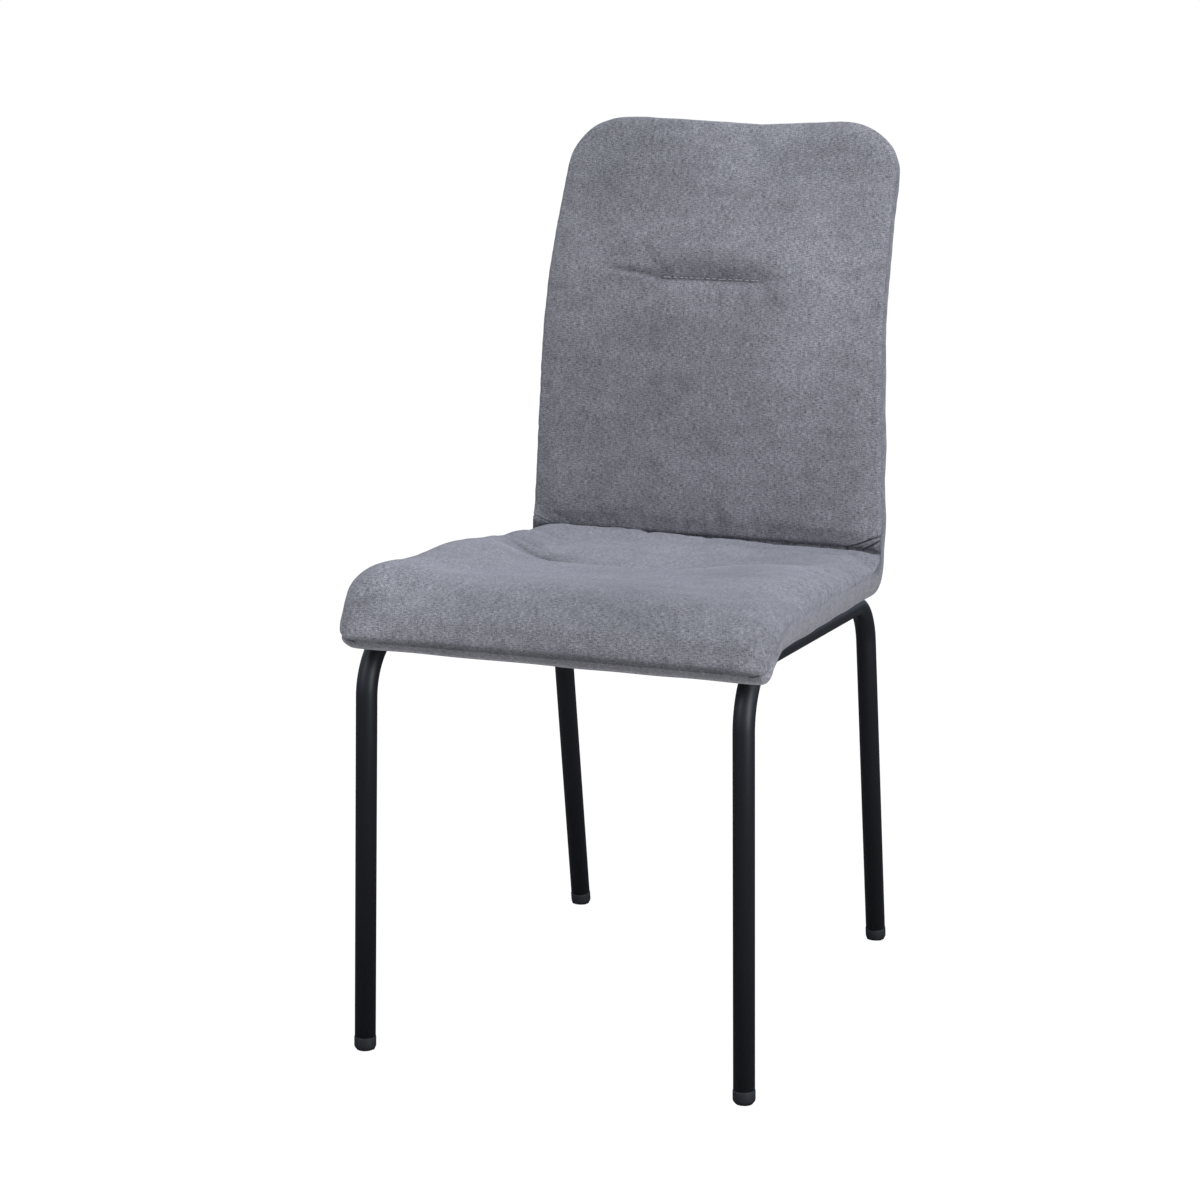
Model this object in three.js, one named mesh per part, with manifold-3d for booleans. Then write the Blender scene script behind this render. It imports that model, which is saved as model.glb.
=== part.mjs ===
// Upholstered dining chair. A bent plywood shell makes the seat and the back in one piece. It carries
// foam pads inside a sewn cover, and it is screwed to a welded frame of two bent round tubes joined by
// two crossbars. Four push-in plastic feet close the tube ends.
// Millimetres, +Z up, the front of the chair faces -Y, and the origin is on the floor in the middle.

import * as THREE from "three";
import { mergeVertices } from "three/addons/utils/BufferGeometryUtils.js";
import Module from "manifold-3d";

const wasm = await Module();
wasm.setup();

// ---------------------------------------------------------------- driving dimensions

const GAP = 0.3; // clearance between pieces that touch

// Side profile of the shell's middle surface, from the front edge of the seat to the top of the back.
// A run is an arc (radius, and turn in degrees, positive upwards) or a straight (length).
const PROFILE_START = { y: -295.5, z: 433, heading: 40 };
const PROFILE_RUNS = {
  waterfall: { radius: 105, turn: -43.5 },
  seat: { length: 381 },
  bend: { radius: 30, turn: 90.5 },
  lumbar: { length: 202 },
  lean: { radius: 400, turn: -20 },
  upper: { length: 142 },
};

// Section of the cushion: half widths along the profile, heights from the shell's middle surface.
const HALF_WIDTH = { front: 224, rear: 207, top: 191 };
const SEAT_FACE = 43; // up to the top of the seat cushion
const BACK_FACE = { lumbar: 26, top: 22 }; // out to the front of the back cushion
const UNDER_DEPTH = { seat: 7.4, back: 15 }; // out to the underside and to the rear
const SEAM_HEIGHT = 2; // the perimeter seam between the face cover and the rear covers
const FACE_SQUARENESS = 4.5; // superellipse power of the face's cross-section
const REAR_EDGE_RADIUS = 8;
// Powers set how square an end is: 2 is a quarter ellipse.
const FRONT_END = { corner: 30, cornerLength: 30, cornerPower: 2.4, nose: 48, nosePower: 2.3 };
const TOP_END = { corner: 44, cornerLength: 44, cornerPower: 2.2, nose: 26, nosePower: 2.1 };
const REAR_NOSE = 9; // length over which the rear covers curl round the ends
const CREASE = { y: 168, z: 484 }; // where the seat's face meets the back's face
const FAN = { before: 25, after: 33 }; // straights beside the bend that belong to its fan of ribs

const FABRIC = 1.5;
const PLY = 11;
const PLY_INSET = 16;
const PLY_CORNER = 36;
const REAR_FOAM_INSET = 16;
const UNDERSIDE_END = 40; // the underside panel ends this far ahead of the bend

// Leg frame
const TUBE = { radius: 11, wall: 1.5, sides: 16 };
const BEND_RADIUS = 62;
const BEND_STEPS = 9;
const FOOT_Y = 271;
const FOOT_X = { front: 208, rear: 183.3 };
const FRONT_CORNER_X = 201;
const LEG_RAKE = { front: 0.013, rear: -0.171 }; // rearward travel per unit of height
const FOOT_CAP = { radius: 11.5, height: 14.5, stem: 22, edge: 3.5, rim: 0.8, sides: 20 };
const FOOT_STEM_POINT = { length: 2, taper: 1.5 };

const CROSSBAR = { width: 30, height: 20, wall: 1.5, corner: 3 };
const CROSSBAR_PLACES = { front: 50, rear: 320 }; // along the straight of the seat
const SCREW_X = { front: 150, rear: 138 };
const SCREW = { radius: 2.95, head: 5.4, headHeight: 3.2, socket: 2.1, socketDepth: 1.9 };
const SCREW_POINT = { length: 1, taper: 0.8 };
const SCREW_DOME = [[0.62, 1], [0.92, 0.62], [1, 0.15]]; // shares of the head's radius and height
const WASHER = { bore: 3.3, radius: 7, thickness: 1.2 };
const TEE_NUT = { bore: 3.3, barrel: 4, flange: 9, flangeThickness: 1.3, length: 8.5 };
const FASTENER_SIDES = 12;
const OVERSHOOT = 1; // how far a cutter passes what it cuts

const PAINT = { color: 0x17181b, roughness: 0.45, metalness: 0 };
const PLASTIC = { color: 0x151617, roughness: 0.6, metalness: 0 };
const ZINC = { color: 0xb9bcc0, roughness: 0.35, metalness: 1 };
const PLYWOOD = { color: 0xc9a877, roughness: 0.7, metalness: 0 };
const FOAM = { color: 0xe6dfc8, roughness: 0.9, metalness: 0 };
const UPHOLSTERY = { color: 0x7c7c85, roughness: 0.95, metalness: 0 };
const LINING = { color: 0x6f6d70, roughness: 0.95, metalness: 0 };

// ---------------------------------------------------------------- small tools

const radians = THREE.MathUtils.degToRad;
const { lerp, smoothstep } = THREE.MathUtils;

// Turns a geometry into a manifold-3d solid.
function toSolid(geometry) {
  const bare = geometry.index ? geometry.toNonIndexed() : geometry.clone();
  bare.deleteAttribute("normal");
  bare.deleteAttribute("uv");
  const merged = mergeVertices(bare, 1e-3);
  return new wasm.Manifold(
    new wasm.Mesh({
      numProp: 3,
      vertProperties: new Float32Array(merged.attributes.position.array),
      triVerts: new Uint32Array(merged.index.array),
    }),
  );
}

// Turns a manifold-3d solid back into a geometry.
function toGeometry(solid) {
  const mesh = solid.getMesh();
  return new THREE.BufferGeometry()
    .setAttribute("position", new THREE.BufferAttribute(mesh.vertProperties, 3))
    .setIndex(new THREE.BufferAttribute(mesh.triVerts, 1));
}

function named(name, geometry, look) {
  const mesh = new THREE.Mesh(geometry, new THREE.MeshStandardMaterial(look));
  mesh.name = name;
  return mesh;
}

// A solid of revolution about the Z axis, from pairs of radius and height, lowest first.
function turned(pairs, sides) {
  const outline = pairs.map(([radius, height]) => new THREE.Vector2(radius, height));
  return new THREE.LatheGeometry(outline, sides).rotateX(Math.PI / 2);
}

// Opening of a round-cornered end at a distance from its tip: 0 at the tip, 1 from length onwards.
function opened(distance, length, power = 2) {
  const share = Math.min(1, Math.max(0, distance) / length);
  return (1 - (1 - share) ** power) ** (1 / power);
}

// ---------------------------------------------------------------- side profile

function runLength({ radius, turn, length }) {
  return radius ? radius * radians(Math.abs(turn)) : length;
}

// The distance along the profile at which each run begins, and the profile's whole length.
const START = {};
let PROFILE_LENGTH = 0;
for (const [name, run] of Object.entries(PROFILE_RUNS)) {
  START[name] = PROFILE_LENGTH;
  PROFILE_LENGTH += runLength(run);
}

// The point and the heading at a distance along the profile.
function profileAt(distance) {
  const point = new THREE.Vector2(PROFILE_START.y, PROFILE_START.z);
  let heading = radians(PROFILE_START.heading);
  let left = distance;
  for (const run of Object.values(PROFILE_RUNS)) {
    const used = Math.min(left, runLength(run));
    if (run.radius) {
      const signed = Math.sign(run.turn) * run.radius;
      const next = heading + used / signed;
      point.x += signed * (Math.sin(next) - Math.sin(heading));
      point.y -= signed * (Math.cos(next) - Math.cos(heading));
      heading = next;
    } else {
      point.x += used * Math.cos(heading);
      point.y += used * Math.sin(heading);
    }
    left -= used;
  }
  const normal = new THREE.Vector2(-Math.sin(heading), Math.cos(heading));
  return { point, heading, normal };
}

const FAN_START = START.bend - FAN.before;
const FAN_END = START.lumbar + FAN.after;
const FAN_MIDDLE = (FAN_START + FAN_END) / 2;

function halfWidth(s) {
  if (s < START.bend) return lerp(HALF_WIDTH.front, HALF_WIDTH.rear, s / START.bend);
  const share = (s - START.bend) / (PROFILE_LENGTH - START.bend);
  return lerp(HALF_WIDTH.rear, HALF_WIDTH.top, share);
}

function faceHeight(s) {
  if (s > FAN_END)
    return lerp(BACK_FACE.lumbar, BACK_FACE.top, (s - FAN_END) / (PROFILE_LENGTH - FAN_END));
  const share = Math.max(0, s - FAN_START) / (FAN_END - FAN_START);
  return lerp(SEAT_FACE, BACK_FACE.lumbar, share);
}

function underDepth(s) {
  return lerp(UNDER_DEPTH.seat, UNDER_DEPTH.back, smoothstep(s, START.bend, START.lumbar));
}

// Point of the face on the profile's plane. Round the bend the ribs fan out from the crease, so that
// the face never folds over itself.
function faceAt(s) {
  const crease = new THREE.Vector2(CREASE.y, CREASE.z);
  if (s <= FAN_START || s >= FAN_END) {
    const { point, normal } = profileAt(s);
    return point.addScaledVector(normal, faceHeight(s));
  }
  if (s < FAN_MIDDLE)
    return faceAt(FAN_START).lerp(crease, (s - FAN_START) / (FAN_MIDDLE - FAN_START));
  return crease.lerp(faceAt(FAN_END), (s - FAN_MIDDLE) / (FAN_END - FAN_MIDDLE));
}

// ---------------------------------------------------------------- ribs

// Every layer of the chair's upholstery is cut at the same ribs, which keeps the layers parallel.
const CURL = [0, 0.04, 0.14, 0.3, 0.52, 0.78]; // ribs crowd together towards an end
const RIB_STEP = 58;
const FAN_RIBS = 10;

function spread(from, to, count) {
  return Array.from({ length: count }, (_, i) => lerp(from, to, i / count));
}

const TOP_START = PROFILE_LENGTH - TOP_END.cornerLength;
const RIBS = [
  ...CURL.map((share) => share * FRONT_END.nose),
  ...spread(FRONT_END.nose, START.seat, 1),
  ...spread(START.seat, FAN_START, Math.round((FAN_START - START.seat) / RIB_STEP)),
  ...spread(FAN_START, FAN_END, FAN_RIBS),
  ...spread(FAN_END, TOP_START, Math.round((TOP_START - FAN_END) / RIB_STEP)),
  TOP_START,
  ...CURL.map((share) => PROFILE_LENGTH - share * TOP_END.cornerLength).reverse(),
];

const FLOOR = PLY / 2 + GAP; // underside of the foam, above the middle surface

// Any point of the upholstery. It stands square to the shell up to the foam's underside, and from
// there on it heads for the face. Between two ribs it lies on the straight line from one to the other.
function place(s, x, height) {
  const next = Math.max(1, RIBS.findIndex((rib) => rib >= s));
  const [from, to] = [RIBS[next - 1], RIBS[next]];
  const intoFoam = Math.max(0, height - FLOOR) / (faceHeight(s) - FLOOR);
  const onRib = (rib) => {
    const { point, normal } = profileAt(rib);
    return point.addScaledVector(normal, Math.min(height, FLOOR)).lerp(faceAt(rib), intoFoam);
  };
  const point = onRib(from).lerp(onRib(to), (s - from) / (to - from));
  return new THREE.Vector3(x, point.x, point.y);
}

// Rib distance s moved in from both ends by an inset, which fades out towards the middle.
function inward(s, inset) {
  const fromFront = inset * Math.max(0, 1 - s / FRONT_END.nose);
  const fromTop = inset * Math.max(0, 1 - (PROFILE_LENGTH - s) / TOP_END.cornerLength);
  return s + fromFront - fromTop;
}

function outlineHalfWidth(s, inset) {
  const front = opened(s - inset, FRONT_END.cornerLength, FRONT_END.cornerPower);
  const top = opened(PROFILE_LENGTH - inset - s, TOP_END.cornerLength, TOP_END.cornerPower);
  const cut = FRONT_END.corner * (1 - front) + TOP_END.corner * (1 - top);
  return halfWidth(s) - inset - cut;
}

const FACE_SEAM = SEAM_HEIGHT + GAP / 2;
const REAR_SEAM = SEAM_HEIGHT - GAP / 2;

// A point of the face, inset from the outside of the cover. across runs from 0 to 1, seam to seam.
function facePlace(rib, across, inset) {
  const s = inward(rib, inset);
  const nose =
    opened(s - inset, FRONT_END.nose, FRONT_END.nosePower) *
    opened(PROFILE_LENGTH - inset - s, TOP_END.nose, TOP_END.nosePower);
  const rise = (faceHeight(s) - inset - FACE_SEAM) * nose;
  const angle = Math.PI * (1 - across);
  const cosine = Math.cos(angle);
  const x = Math.sign(cosine) * Math.abs(cosine) ** (2 / FACE_SQUARENESS);
  const up = Math.max(0, Math.sin(angle) - 1e-9) ** (2 / FACE_SQUARENESS);
  return place(s, outlineHalfWidth(s, inset) * x, FACE_SEAM + rise * up);
}

// A point of the underside or the rear: flat in the middle, with a quarter-round up to each seam.
const REAR_TURNS = [0, 30, 60, 90];
const REAR_COLUMNS = 2 * REAR_TURNS.length + 4;

function rearPlace(rib, column, inset) {
  const s = inward(rib, inset);
  const width = outlineHalfWidth(s, inset);
  const nose = opened(Math.min(s, PROFILE_LENGTH - s) - inset, REAR_NOSE);
  const drop = (underDepth(s) - inset + REAR_SEAM) * nose;
  const radius = Math.min(REAR_EDGE_RADIUS - inset, drop);
  const fromMiddle = Math.abs(column - REAR_COLUMNS / 2);
  const side = Math.sign(column - REAR_COLUMNS / 2);
  if (fromMiddle < 2) return place(s, (side * width * fromMiddle) / 4, REAR_SEAM - drop);
  if (fromMiddle === REAR_COLUMNS / 2) return place(s, side * width, REAR_SEAM);
  const angle = radians(REAR_TURNS[REAR_COLUMNS / 2 - 1 - fromMiddle]);
  const x = width - radius * (1 - Math.cos(angle));
  return place(s, side * x, REAR_SEAM - drop + radius * (1 - Math.sin(angle)));
}

// A box whose crosswise slices lie at the given ribs. shape(rib, column, layer) gives each corner:
// column counts across from 0, and layer is 0 underneath and 1 on top.
function slicedBox(ribs, columns, shape) {
  const box = new THREE.BoxGeometry(1, 1, 1, columns, 1, ribs.length - 1);
  const corners = box.attributes.position;
  for (let i = 0; i < corners.count; i++) {
    const column = Math.round((corners.getX(i) + 0.5) * columns);
    const slice = Math.round((0.5 - corners.getZ(i)) * (ribs.length - 1));
    const layer = Math.round(corners.getY(i) + 0.5);
    corners.setXYZ(i, ...shape(ribs[slice], column, layer));
  }
  return box;
}

// The ribs from one distance to another, both included.
function ribsBetween(from, to) {
  return [from, ...RIBS.filter((s) => s > from + 1 && s < to - 1), to];
}

// ---------------------------------------------------------------- covers, pads and shell

const FACE_COLUMNS = 14;

function faceCover() {
  return slicedBox(RIBS, FACE_COLUMNS, (rib, column, layer) =>
    facePlace(rib, column / FACE_COLUMNS, layer ? 0 : FABRIC),
  );
}

// The underside panel and the rear cover follow one shape, divided across under the seat.
function rearCover(from, to) {
  return slicedBox(ribsBetween(from, to), REAR_COLUMNS, (rib, column, layer) =>
    rearPlace(rib, column, layer ? FABRIC : 0),
  );
}

// A foam pad with upright sides, between the plywood and the face cover.
function facePad(from, to) {
  const inset = FABRIC + 2 * GAP;
  return slicedBox(ribsBetween(from, to), FACE_COLUMNS - 2, (rib, column, layer) => {
    const top = facePlace(rib, (column + 1) / FACE_COLUMNS, inset);
    return layer ? top : place(inward(rib, inset), top.x, FLOOR);
  });
}

// A layer of even thickness with round corners: the plywood, or the thin pad behind the back.
function evenLayer(from, to, inset, bottom, top) {
  return slicedBox(ribsBetween(from, to), 4, (rib, column, layer) => {
    const corner = PLY_CORNER * (1 - opened(Math.min(rib - from, to - rib), PLY_CORNER));
    const width = halfWidth(rib) - inset - corner;
    return place(rib, width * (column / 2 - 1), layer ? top : bottom);
  });
}

// ---------------------------------------------------------------- places on the seat

// A group with its Y along the straight of the seat and its Z up through the shell.
function seatPlace(along) {
  const { point, heading } = profileAt(START.seat + along);
  const group = new THREE.Group();
  group.position.set(0, point.x, point.y);
  group.rotation.x = heading;
  group.updateMatrix();
  return group;
}

// An upright cutter at a place on the seat, from one height to another.
function drill(along, x, radius, from, to) {
  const cutter = new THREE.CylinderGeometry(radius, radius, to - from, FASTENER_SIDES)
    .rotateX(Math.PI / 2)
    .translate(x, 0, (from + to) / 2)
    .applyMatrix4(seatPlace(along).matrix);
  return toSolid(cutter);
}

const SCREW_PLACES = ["front", "rear"].flatMap((end) =>
  [["left", -1], ["right", 1]].map(([side, sign]) => ({
    name: `${end}_${side}`,
    end,
    along: CROSSBAR_PLACES[end],
    x: sign * SCREW_X[end],
  })),
);

const RAIL_TOP = -UNDER_DEPTH.seat - GAP; // top of the rails and crossbars, from the middle surface
const CROSSBAR_BOTTOM = RAIL_TOP - CROSSBAR.height;
const WASHER_BOTTOM = CROSSBAR_BOTTOM - GAP - WASHER.thickness;

function plywoodShell() {
  const sheet = evenLayer(PLY_INSET, PROFILE_LENGTH - PLY_INSET, PLY_INSET, -PLY / 2, PLY / 2);
  const recess = PLY / 2 - TEE_NUT.flangeThickness - 2 * GAP;
  let solid = toSolid(sheet);
  for (const { along, x } of SCREW_PLACES)
    solid = solid
      .subtract(drill(along, x, TEE_NUT.barrel + GAP, -PLY, PLY))
      .subtract(drill(along, x, TEE_NUT.flange + GAP, recess, PLY));
  return toGeometry(solid);
}

function undersidePanel() {
  const panel = rearCover(0, START.bend - UNDERSIDE_END - GAP);
  let solid = toSolid(panel);
  for (const { along, x } of SCREW_PLACES)
    solid = solid.subtract(drill(along, x, WASHER.bore + GAP, -PLY, 0));
  return toGeometry(solid);
}

// ---------------------------------------------------------------- leg frame

// A line through corner points with round bends. Its parameter runs evenly from station to station.
class BentLine extends THREE.Curve {
  constructor(corners) {
    super();
    this.stations = [corners[0]];
    for (let i = 1; i < corners.length - 1; i++)
      this.stations.push(...bend(corners[i - 1], corners[i], corners[i + 1]));
    this.stations.push(corners.at(-1));
  }

  get steps() {
    return this.stations.length - 1;
  }

  getPointAt(u, target = new THREE.Vector3()) {
    const before = Math.min(Math.floor(u * this.steps + 1e-6), this.steps - 1);
    const share = u * this.steps - before;
    return target.copy(this.stations[before]).lerp(this.stations[before + 1], share);
  }

  getTangentAt(u, target = new THREE.Vector3()) {
    const i = Math.round(u * this.steps);
    const here = this.stations[i];
    const into = here.clone().sub(this.stations[Math.max(i - 1, 0)]).normalize();
    const onward = this.stations[Math.min(i + 1, this.steps)].clone().sub(here).normalize();
    return target.copy(into).add(onward).normalize();
  }
}

// Points of the round bend at a corner.
function bend(before, corner, after) {
  const back = before.clone().sub(corner).normalize();
  const ahead = after.clone().sub(corner).normalize();
  const half = back.angleTo(ahead) / 2;
  const toCentre = back.clone().add(ahead).setLength(BEND_RADIUS / Math.sin(half));
  const arm = back.clone().multiplyScalar(BEND_RADIUS / Math.tan(half)).sub(toCentre);
  const axis = back.clone().cross(ahead).normalize();
  const sweep = Math.PI - 2 * half;
  return Array.from({ length: BEND_STEPS + 1 }, (_, k) =>
    arm.clone().applyAxisAngle(axis, (-sweep * k) / BEND_STEPS).add(corner).add(toCentre),
  );
}

// Centreline corners of a side frame, from the front foot to the rear foot. side is -1 or 1.
function sideCorners(side) {
  const { point, normal, heading } = profileAt(START.seat);
  const rail = point.addScaledVector(normal, RAIL_TOP - TUBE.radius);
  const slope = Math.tan(heading);
  const corner = (footY, rake) => {
    const y = (footY + rake * (rail.y - slope * rail.x)) / (1 - rake * slope);
    return [y, rail.y + slope * (y - rail.x)];
  };
  return {
    frontFoot: new THREE.Vector3(side * FOOT_X.front, -FOOT_Y, 0),
    front: new THREE.Vector3(side * FRONT_CORNER_X, ...corner(-FOOT_Y, LEG_RAKE.front)),
    rear: new THREE.Vector3(side * FOOT_X.rear, ...corner(FOOT_Y, LEG_RAKE.rear)),
    rearFoot: new THREE.Vector3(side * FOOT_X.rear, FOOT_Y, 0),
  };
}

// The middle of a leg's cut end, just above the rim of its foot.
function legEnd(foot, corner) {
  const up = corner.clone().sub(foot).setLength(FOOT_CAP.height + GAP);
  return foot.clone().add(up);
}

// A round section along a side frame's centreline, hollow when it has an inner radius.
function sideSweep(side, outer, inner) {
  const { frontFoot, front, rear, rearFoot } = sideCorners(side);
  const line = new BentLine([legEnd(frontFoot, front), front, rear, legEnd(rearFoot, rear)]);
  const section = new THREE.Shape().absarc(0, 0, outer, 0, 2 * Math.PI);
  if (inner) section.holes.push(new THREE.Path().absarc(0, 0, inner, 0, 2 * Math.PI, true));
  return new THREE.ExtrudeGeometry(section, {
    extrudePath: line,
    steps: line.steps,
    curveSegments: TUBE.sides / 2,
  });
}

function roundedRectangle(path, width, height, radius) {
  const [x, y] = [width / 2 - radius, height / 2 - radius];
  return path
    .absarc(x, -y, radius, -Math.PI / 2, 0)
    .absarc(x, y, radius, 0, Math.PI / 2)
    .absarc(-x, y, radius, Math.PI / 2, Math.PI)
    .absarc(-x, -y, radius, Math.PI, (3 * Math.PI) / 2);
}

// A rectangular tube coped to the side tubes, and drilled through for its two screws.
function crossbar(end) {
  const { width, height, wall, corner } = CROSSBAR;
  const section = roundedRectangle(new THREE.Shape(), width, height, corner);
  const inside = [width - 2 * wall, height - 2 * wall, corner - wall];
  section.holes.push(roundedRectangle(new THREE.Path(), ...inside));
  const length = 2 * FRONT_CORNER_X;
  const bar = new THREE.ExtrudeGeometry(section, {
    depth: length,
    bevelEnabled: false,
    curveSegments: 3,
  })
    .translate(0, 0, -length / 2)
    .rotateY(Math.PI / 2)
    .rotateX(Math.PI / 2)
    .translate(0, 0, RAIL_TOP - height / 2)
    .applyMatrix4(seatPlace(CROSSBAR_PLACES[end]).matrix);
  let solid = toSolid(bar);
  for (const side of [-1, 1])
    solid = solid.subtract(toSolid(sideSweep(side, TUBE.radius + GAP)));
  const drilled = [CROSSBAR_BOTTOM - OVERSHOOT, RAIL_TOP + OVERSHOOT];
  for (const { along, x } of SCREW_PLACES.filter((screw) => screw.end === end))
    solid = solid.subtract(drill(along, x, WASHER.bore + GAP, ...drilled));
  const largestFirst = solid.decompose().sort((a, b) => b.volume() - a.volume());
  return toGeometry(largestFirst[0]);
}

// A push-in foot in line with its leg, cut level where it stands on the floor.
function footCap(foot, corner) {
  const { radius, height, stem, edge, rim, sides } = FOOT_CAP;
  const { length, taper } = FOOT_STEM_POINT;
  const below = 2; // extra length that the level cut takes off
  const bore = (TUBE.radius - TUBE.wall) * Math.cos(Math.PI / TUBE.sides) - 2 * GAP;
  const edgeTurns = [0, 30, 60, 90].map(radians);
  const cap = turned(
    [
      [0, -below],
      ...edgeTurns.map((a) => [
        radius - edge * (1 - Math.sin(a)),
        -below + edge * (1 - Math.cos(a)),
      ]),
      [radius, height - rim],
      [radius - rim, height],
      [bore, height],
      [bore, height + stem - length],
      [bore - taper, height + stem],
      [0, height + stem],
    ],
    sides,
  );
  const up = new THREE.Vector3(0, 0, 1);
  const leg = corner.clone().sub(foot).normalize();
  cap.applyQuaternion(new THREE.Quaternion().setFromUnitVectors(up, leg));
  cap.translate(foot.x, foot.y, foot.z);
  const reach = 4 * radius;
  const floor = new THREE.BoxGeometry(reach, reach, reach).translate(foot.x, foot.y, -reach / 2);
  return toGeometry(toSolid(cap).subtract(toSolid(floor)));
}

// ---------------------------------------------------------------- fasteners, standing on their Z axis

// A round-headed socket screw with its head's bearing face at height 0.
function seatScrew() {
  const { radius, head, headHeight, socket, socketDepth } = SCREW;
  const tip = PLY / 2 - GAP - WASHER_BOTTOM;
  const body = turned(
    [
      [0, -headHeight],
      ...SCREW_DOME.map(([out, down]) => [out * head, -down * headHeight]),
      [head, 0],
      [radius, 0],
      [radius, tip - SCREW_POINT.length],
      [radius - SCREW_POINT.taper, tip],
      [0, tip],
    ],
    FASTENER_SIDES,
  );
  const hexagon = new THREE.CylinderGeometry(socket, socket, 2 * socketDepth, 6)
    .rotateX(Math.PI / 2)
    .translate(0, 0, -headHeight);
  return toGeometry(toSolid(body).subtract(toSolid(hexagon)));
}

function washer() {
  const { bore, radius, thickness } = WASHER;
  const outline = [[bore, 0], [radius, 0], [radius, thickness], [bore, thickness], [bore, 0]];
  return turned(outline, FASTENER_SIDES);
}

// A tee nut, hanging from its flange's upper face at height 0.
function teeNut() {
  const { bore, barrel, flange, flangeThickness, length } = TEE_NUT;
  return turned(
    [
      [bore, -length],
      [barrel, -length],
      [barrel, -flangeThickness],
      [flange, -flangeThickness],
      [flange, 0],
      [bore, 0],
      [bore, -length],
    ],
    FASTENER_SIDES,
  );
}

// ---------------------------------------------------------------- the chair

function legFrame() {
  const frame = new THREE.Group();
  for (const [name, side] of [["left", -1], ["right", 1]]) {
    const tube = sideSweep(side, TUBE.radius, TUBE.radius - TUBE.wall);
    const { frontFoot, front, rear, rearFoot } = sideCorners(side);
    frame.add(
      named(`side_tube_${name}`, tube, PAINT),
      named(`foot_cap_front_${name}`, footCap(frontFoot, front), PLASTIC),
      named(`foot_cap_rear_${name}`, footCap(rearFoot, rear), PLASTIC),
    );
  }
  for (const end of ["front", "rear"]) frame.add(named(`crossbar_${end}`, crossbar(end), PAINT));
  return frame;
}

function fasteners() {
  const group = new THREE.Group();
  for (const { name, along, x } of SCREW_PLACES) {
    const set = seatPlace(along);
    const screw = named(`seat_screw_${name}`, seatScrew(), ZINC);
    const ring = named(`washer_${name}`, washer(), ZINC);
    const nut = named(`tee_nut_${name}`, teeNut(), ZINC);
    screw.position.set(x, 0, WASHER_BOTTOM - GAP);
    ring.position.set(x, 0, WASHER_BOTTOM);
    nut.position.set(x, 0, PLY / 2 - GAP);
    group.add(set.add(screw, ring, nut));
  }
  return group;
}

function upholstery() {
  const group = new THREE.Group();
  const rearPad = evenLayer(
    FAN_END,
    PROFILE_LENGTH - REAR_FOAM_INSET,
    REAR_FOAM_INSET,
    -UNDER_DEPTH.back + FABRIC + GAP,
    -PLY / 2 - GAP,
  );
  const padGap = 4;
  group.add(
    named("plywood_shell", plywoodShell(), PLYWOOD),
    named("seat_foam", facePad(RIBS[2], FAN_MIDDLE - padGap), FOAM),
    named("back_foam", facePad(FAN_MIDDLE + padGap, RIBS.at(-3)), FOAM),
    named("rear_foam", rearPad, FOAM),
    named("face_cover", faceCover(), UPHOLSTERY),
    named("underside_panel", undersidePanel(), LINING),
    named("rear_cover", rearCover(START.bend - UNDERSIDE_END, PROFILE_LENGTH), UPHOLSTERY),
  );
  return group;
}

const chair = new THREE.Group().add(legFrame(), fasteners(), upholstery());

// The origin goes under the middle of the chair's outline.
const bounds = new THREE.Box3().setFromObject(chair);
chair.position.y = -(bounds.min.y + bounds.max.y) / 2;

export default chair;
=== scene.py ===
import math

import bmesh
import bpy
import numpy as np
from mathutils import Matrix, Vector


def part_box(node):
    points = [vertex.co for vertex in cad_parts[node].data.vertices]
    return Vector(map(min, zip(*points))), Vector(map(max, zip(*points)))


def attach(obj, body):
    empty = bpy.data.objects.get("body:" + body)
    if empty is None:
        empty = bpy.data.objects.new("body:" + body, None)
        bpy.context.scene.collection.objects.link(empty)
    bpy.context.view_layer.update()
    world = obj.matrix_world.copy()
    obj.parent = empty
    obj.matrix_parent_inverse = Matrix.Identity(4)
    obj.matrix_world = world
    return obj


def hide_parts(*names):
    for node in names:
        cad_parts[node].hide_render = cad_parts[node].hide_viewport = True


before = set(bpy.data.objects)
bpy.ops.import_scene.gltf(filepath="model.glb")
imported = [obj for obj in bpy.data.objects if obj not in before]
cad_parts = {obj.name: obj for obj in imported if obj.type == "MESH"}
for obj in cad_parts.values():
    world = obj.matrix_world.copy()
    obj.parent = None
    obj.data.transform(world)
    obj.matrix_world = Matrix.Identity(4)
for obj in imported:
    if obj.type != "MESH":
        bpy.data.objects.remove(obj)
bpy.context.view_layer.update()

bl_info = {
    "name": "Upholstered dining chair",
    "version": (1, 0, 0),
    "blender": (4, 5, 0),
    "location": "View3D > Sidebar > Chair",
    "description": "Dresses a dining chair's frame with sewn upholstery, stitching, painted tube and feet",
    "category": "Object",
}

# ------------------------------------------------------------------ fixed geometry of the chair
# Metres. The shell's side profile runs from the seat's front edge to the top of the back. A run is
# an arc (radius, turn in radians, positive upwards) or a straight (None, length).

FOOT_OUT = 0.271  # foot centres, ahead of and behind the middle of the leg frame
FOOT_CAP_RADIUS = 0.0115
LEG_FRAME_MIDDLE_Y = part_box("foot_cap_front_left")[0].y + FOOT_CAP_RADIUS + FOOT_OUT

PROFILE_START = (-0.2955 + LEG_FRAME_MIDDLE_Y, 0.433, math.radians(40))
PROFILE_RUNS = {
    "waterfall": (0.105, math.radians(-43.5)),
    "seat": (None, 0.381),
    "bend": (0.030, math.radians(90.5)),
    "lumbar": (None, 0.202),
    "lean": (0.400, math.radians(-20)),
    "upper": (None, 0.142),
}
FOAM_UNDERSIDE = 0.0058  # above the shell's middle surface
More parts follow.
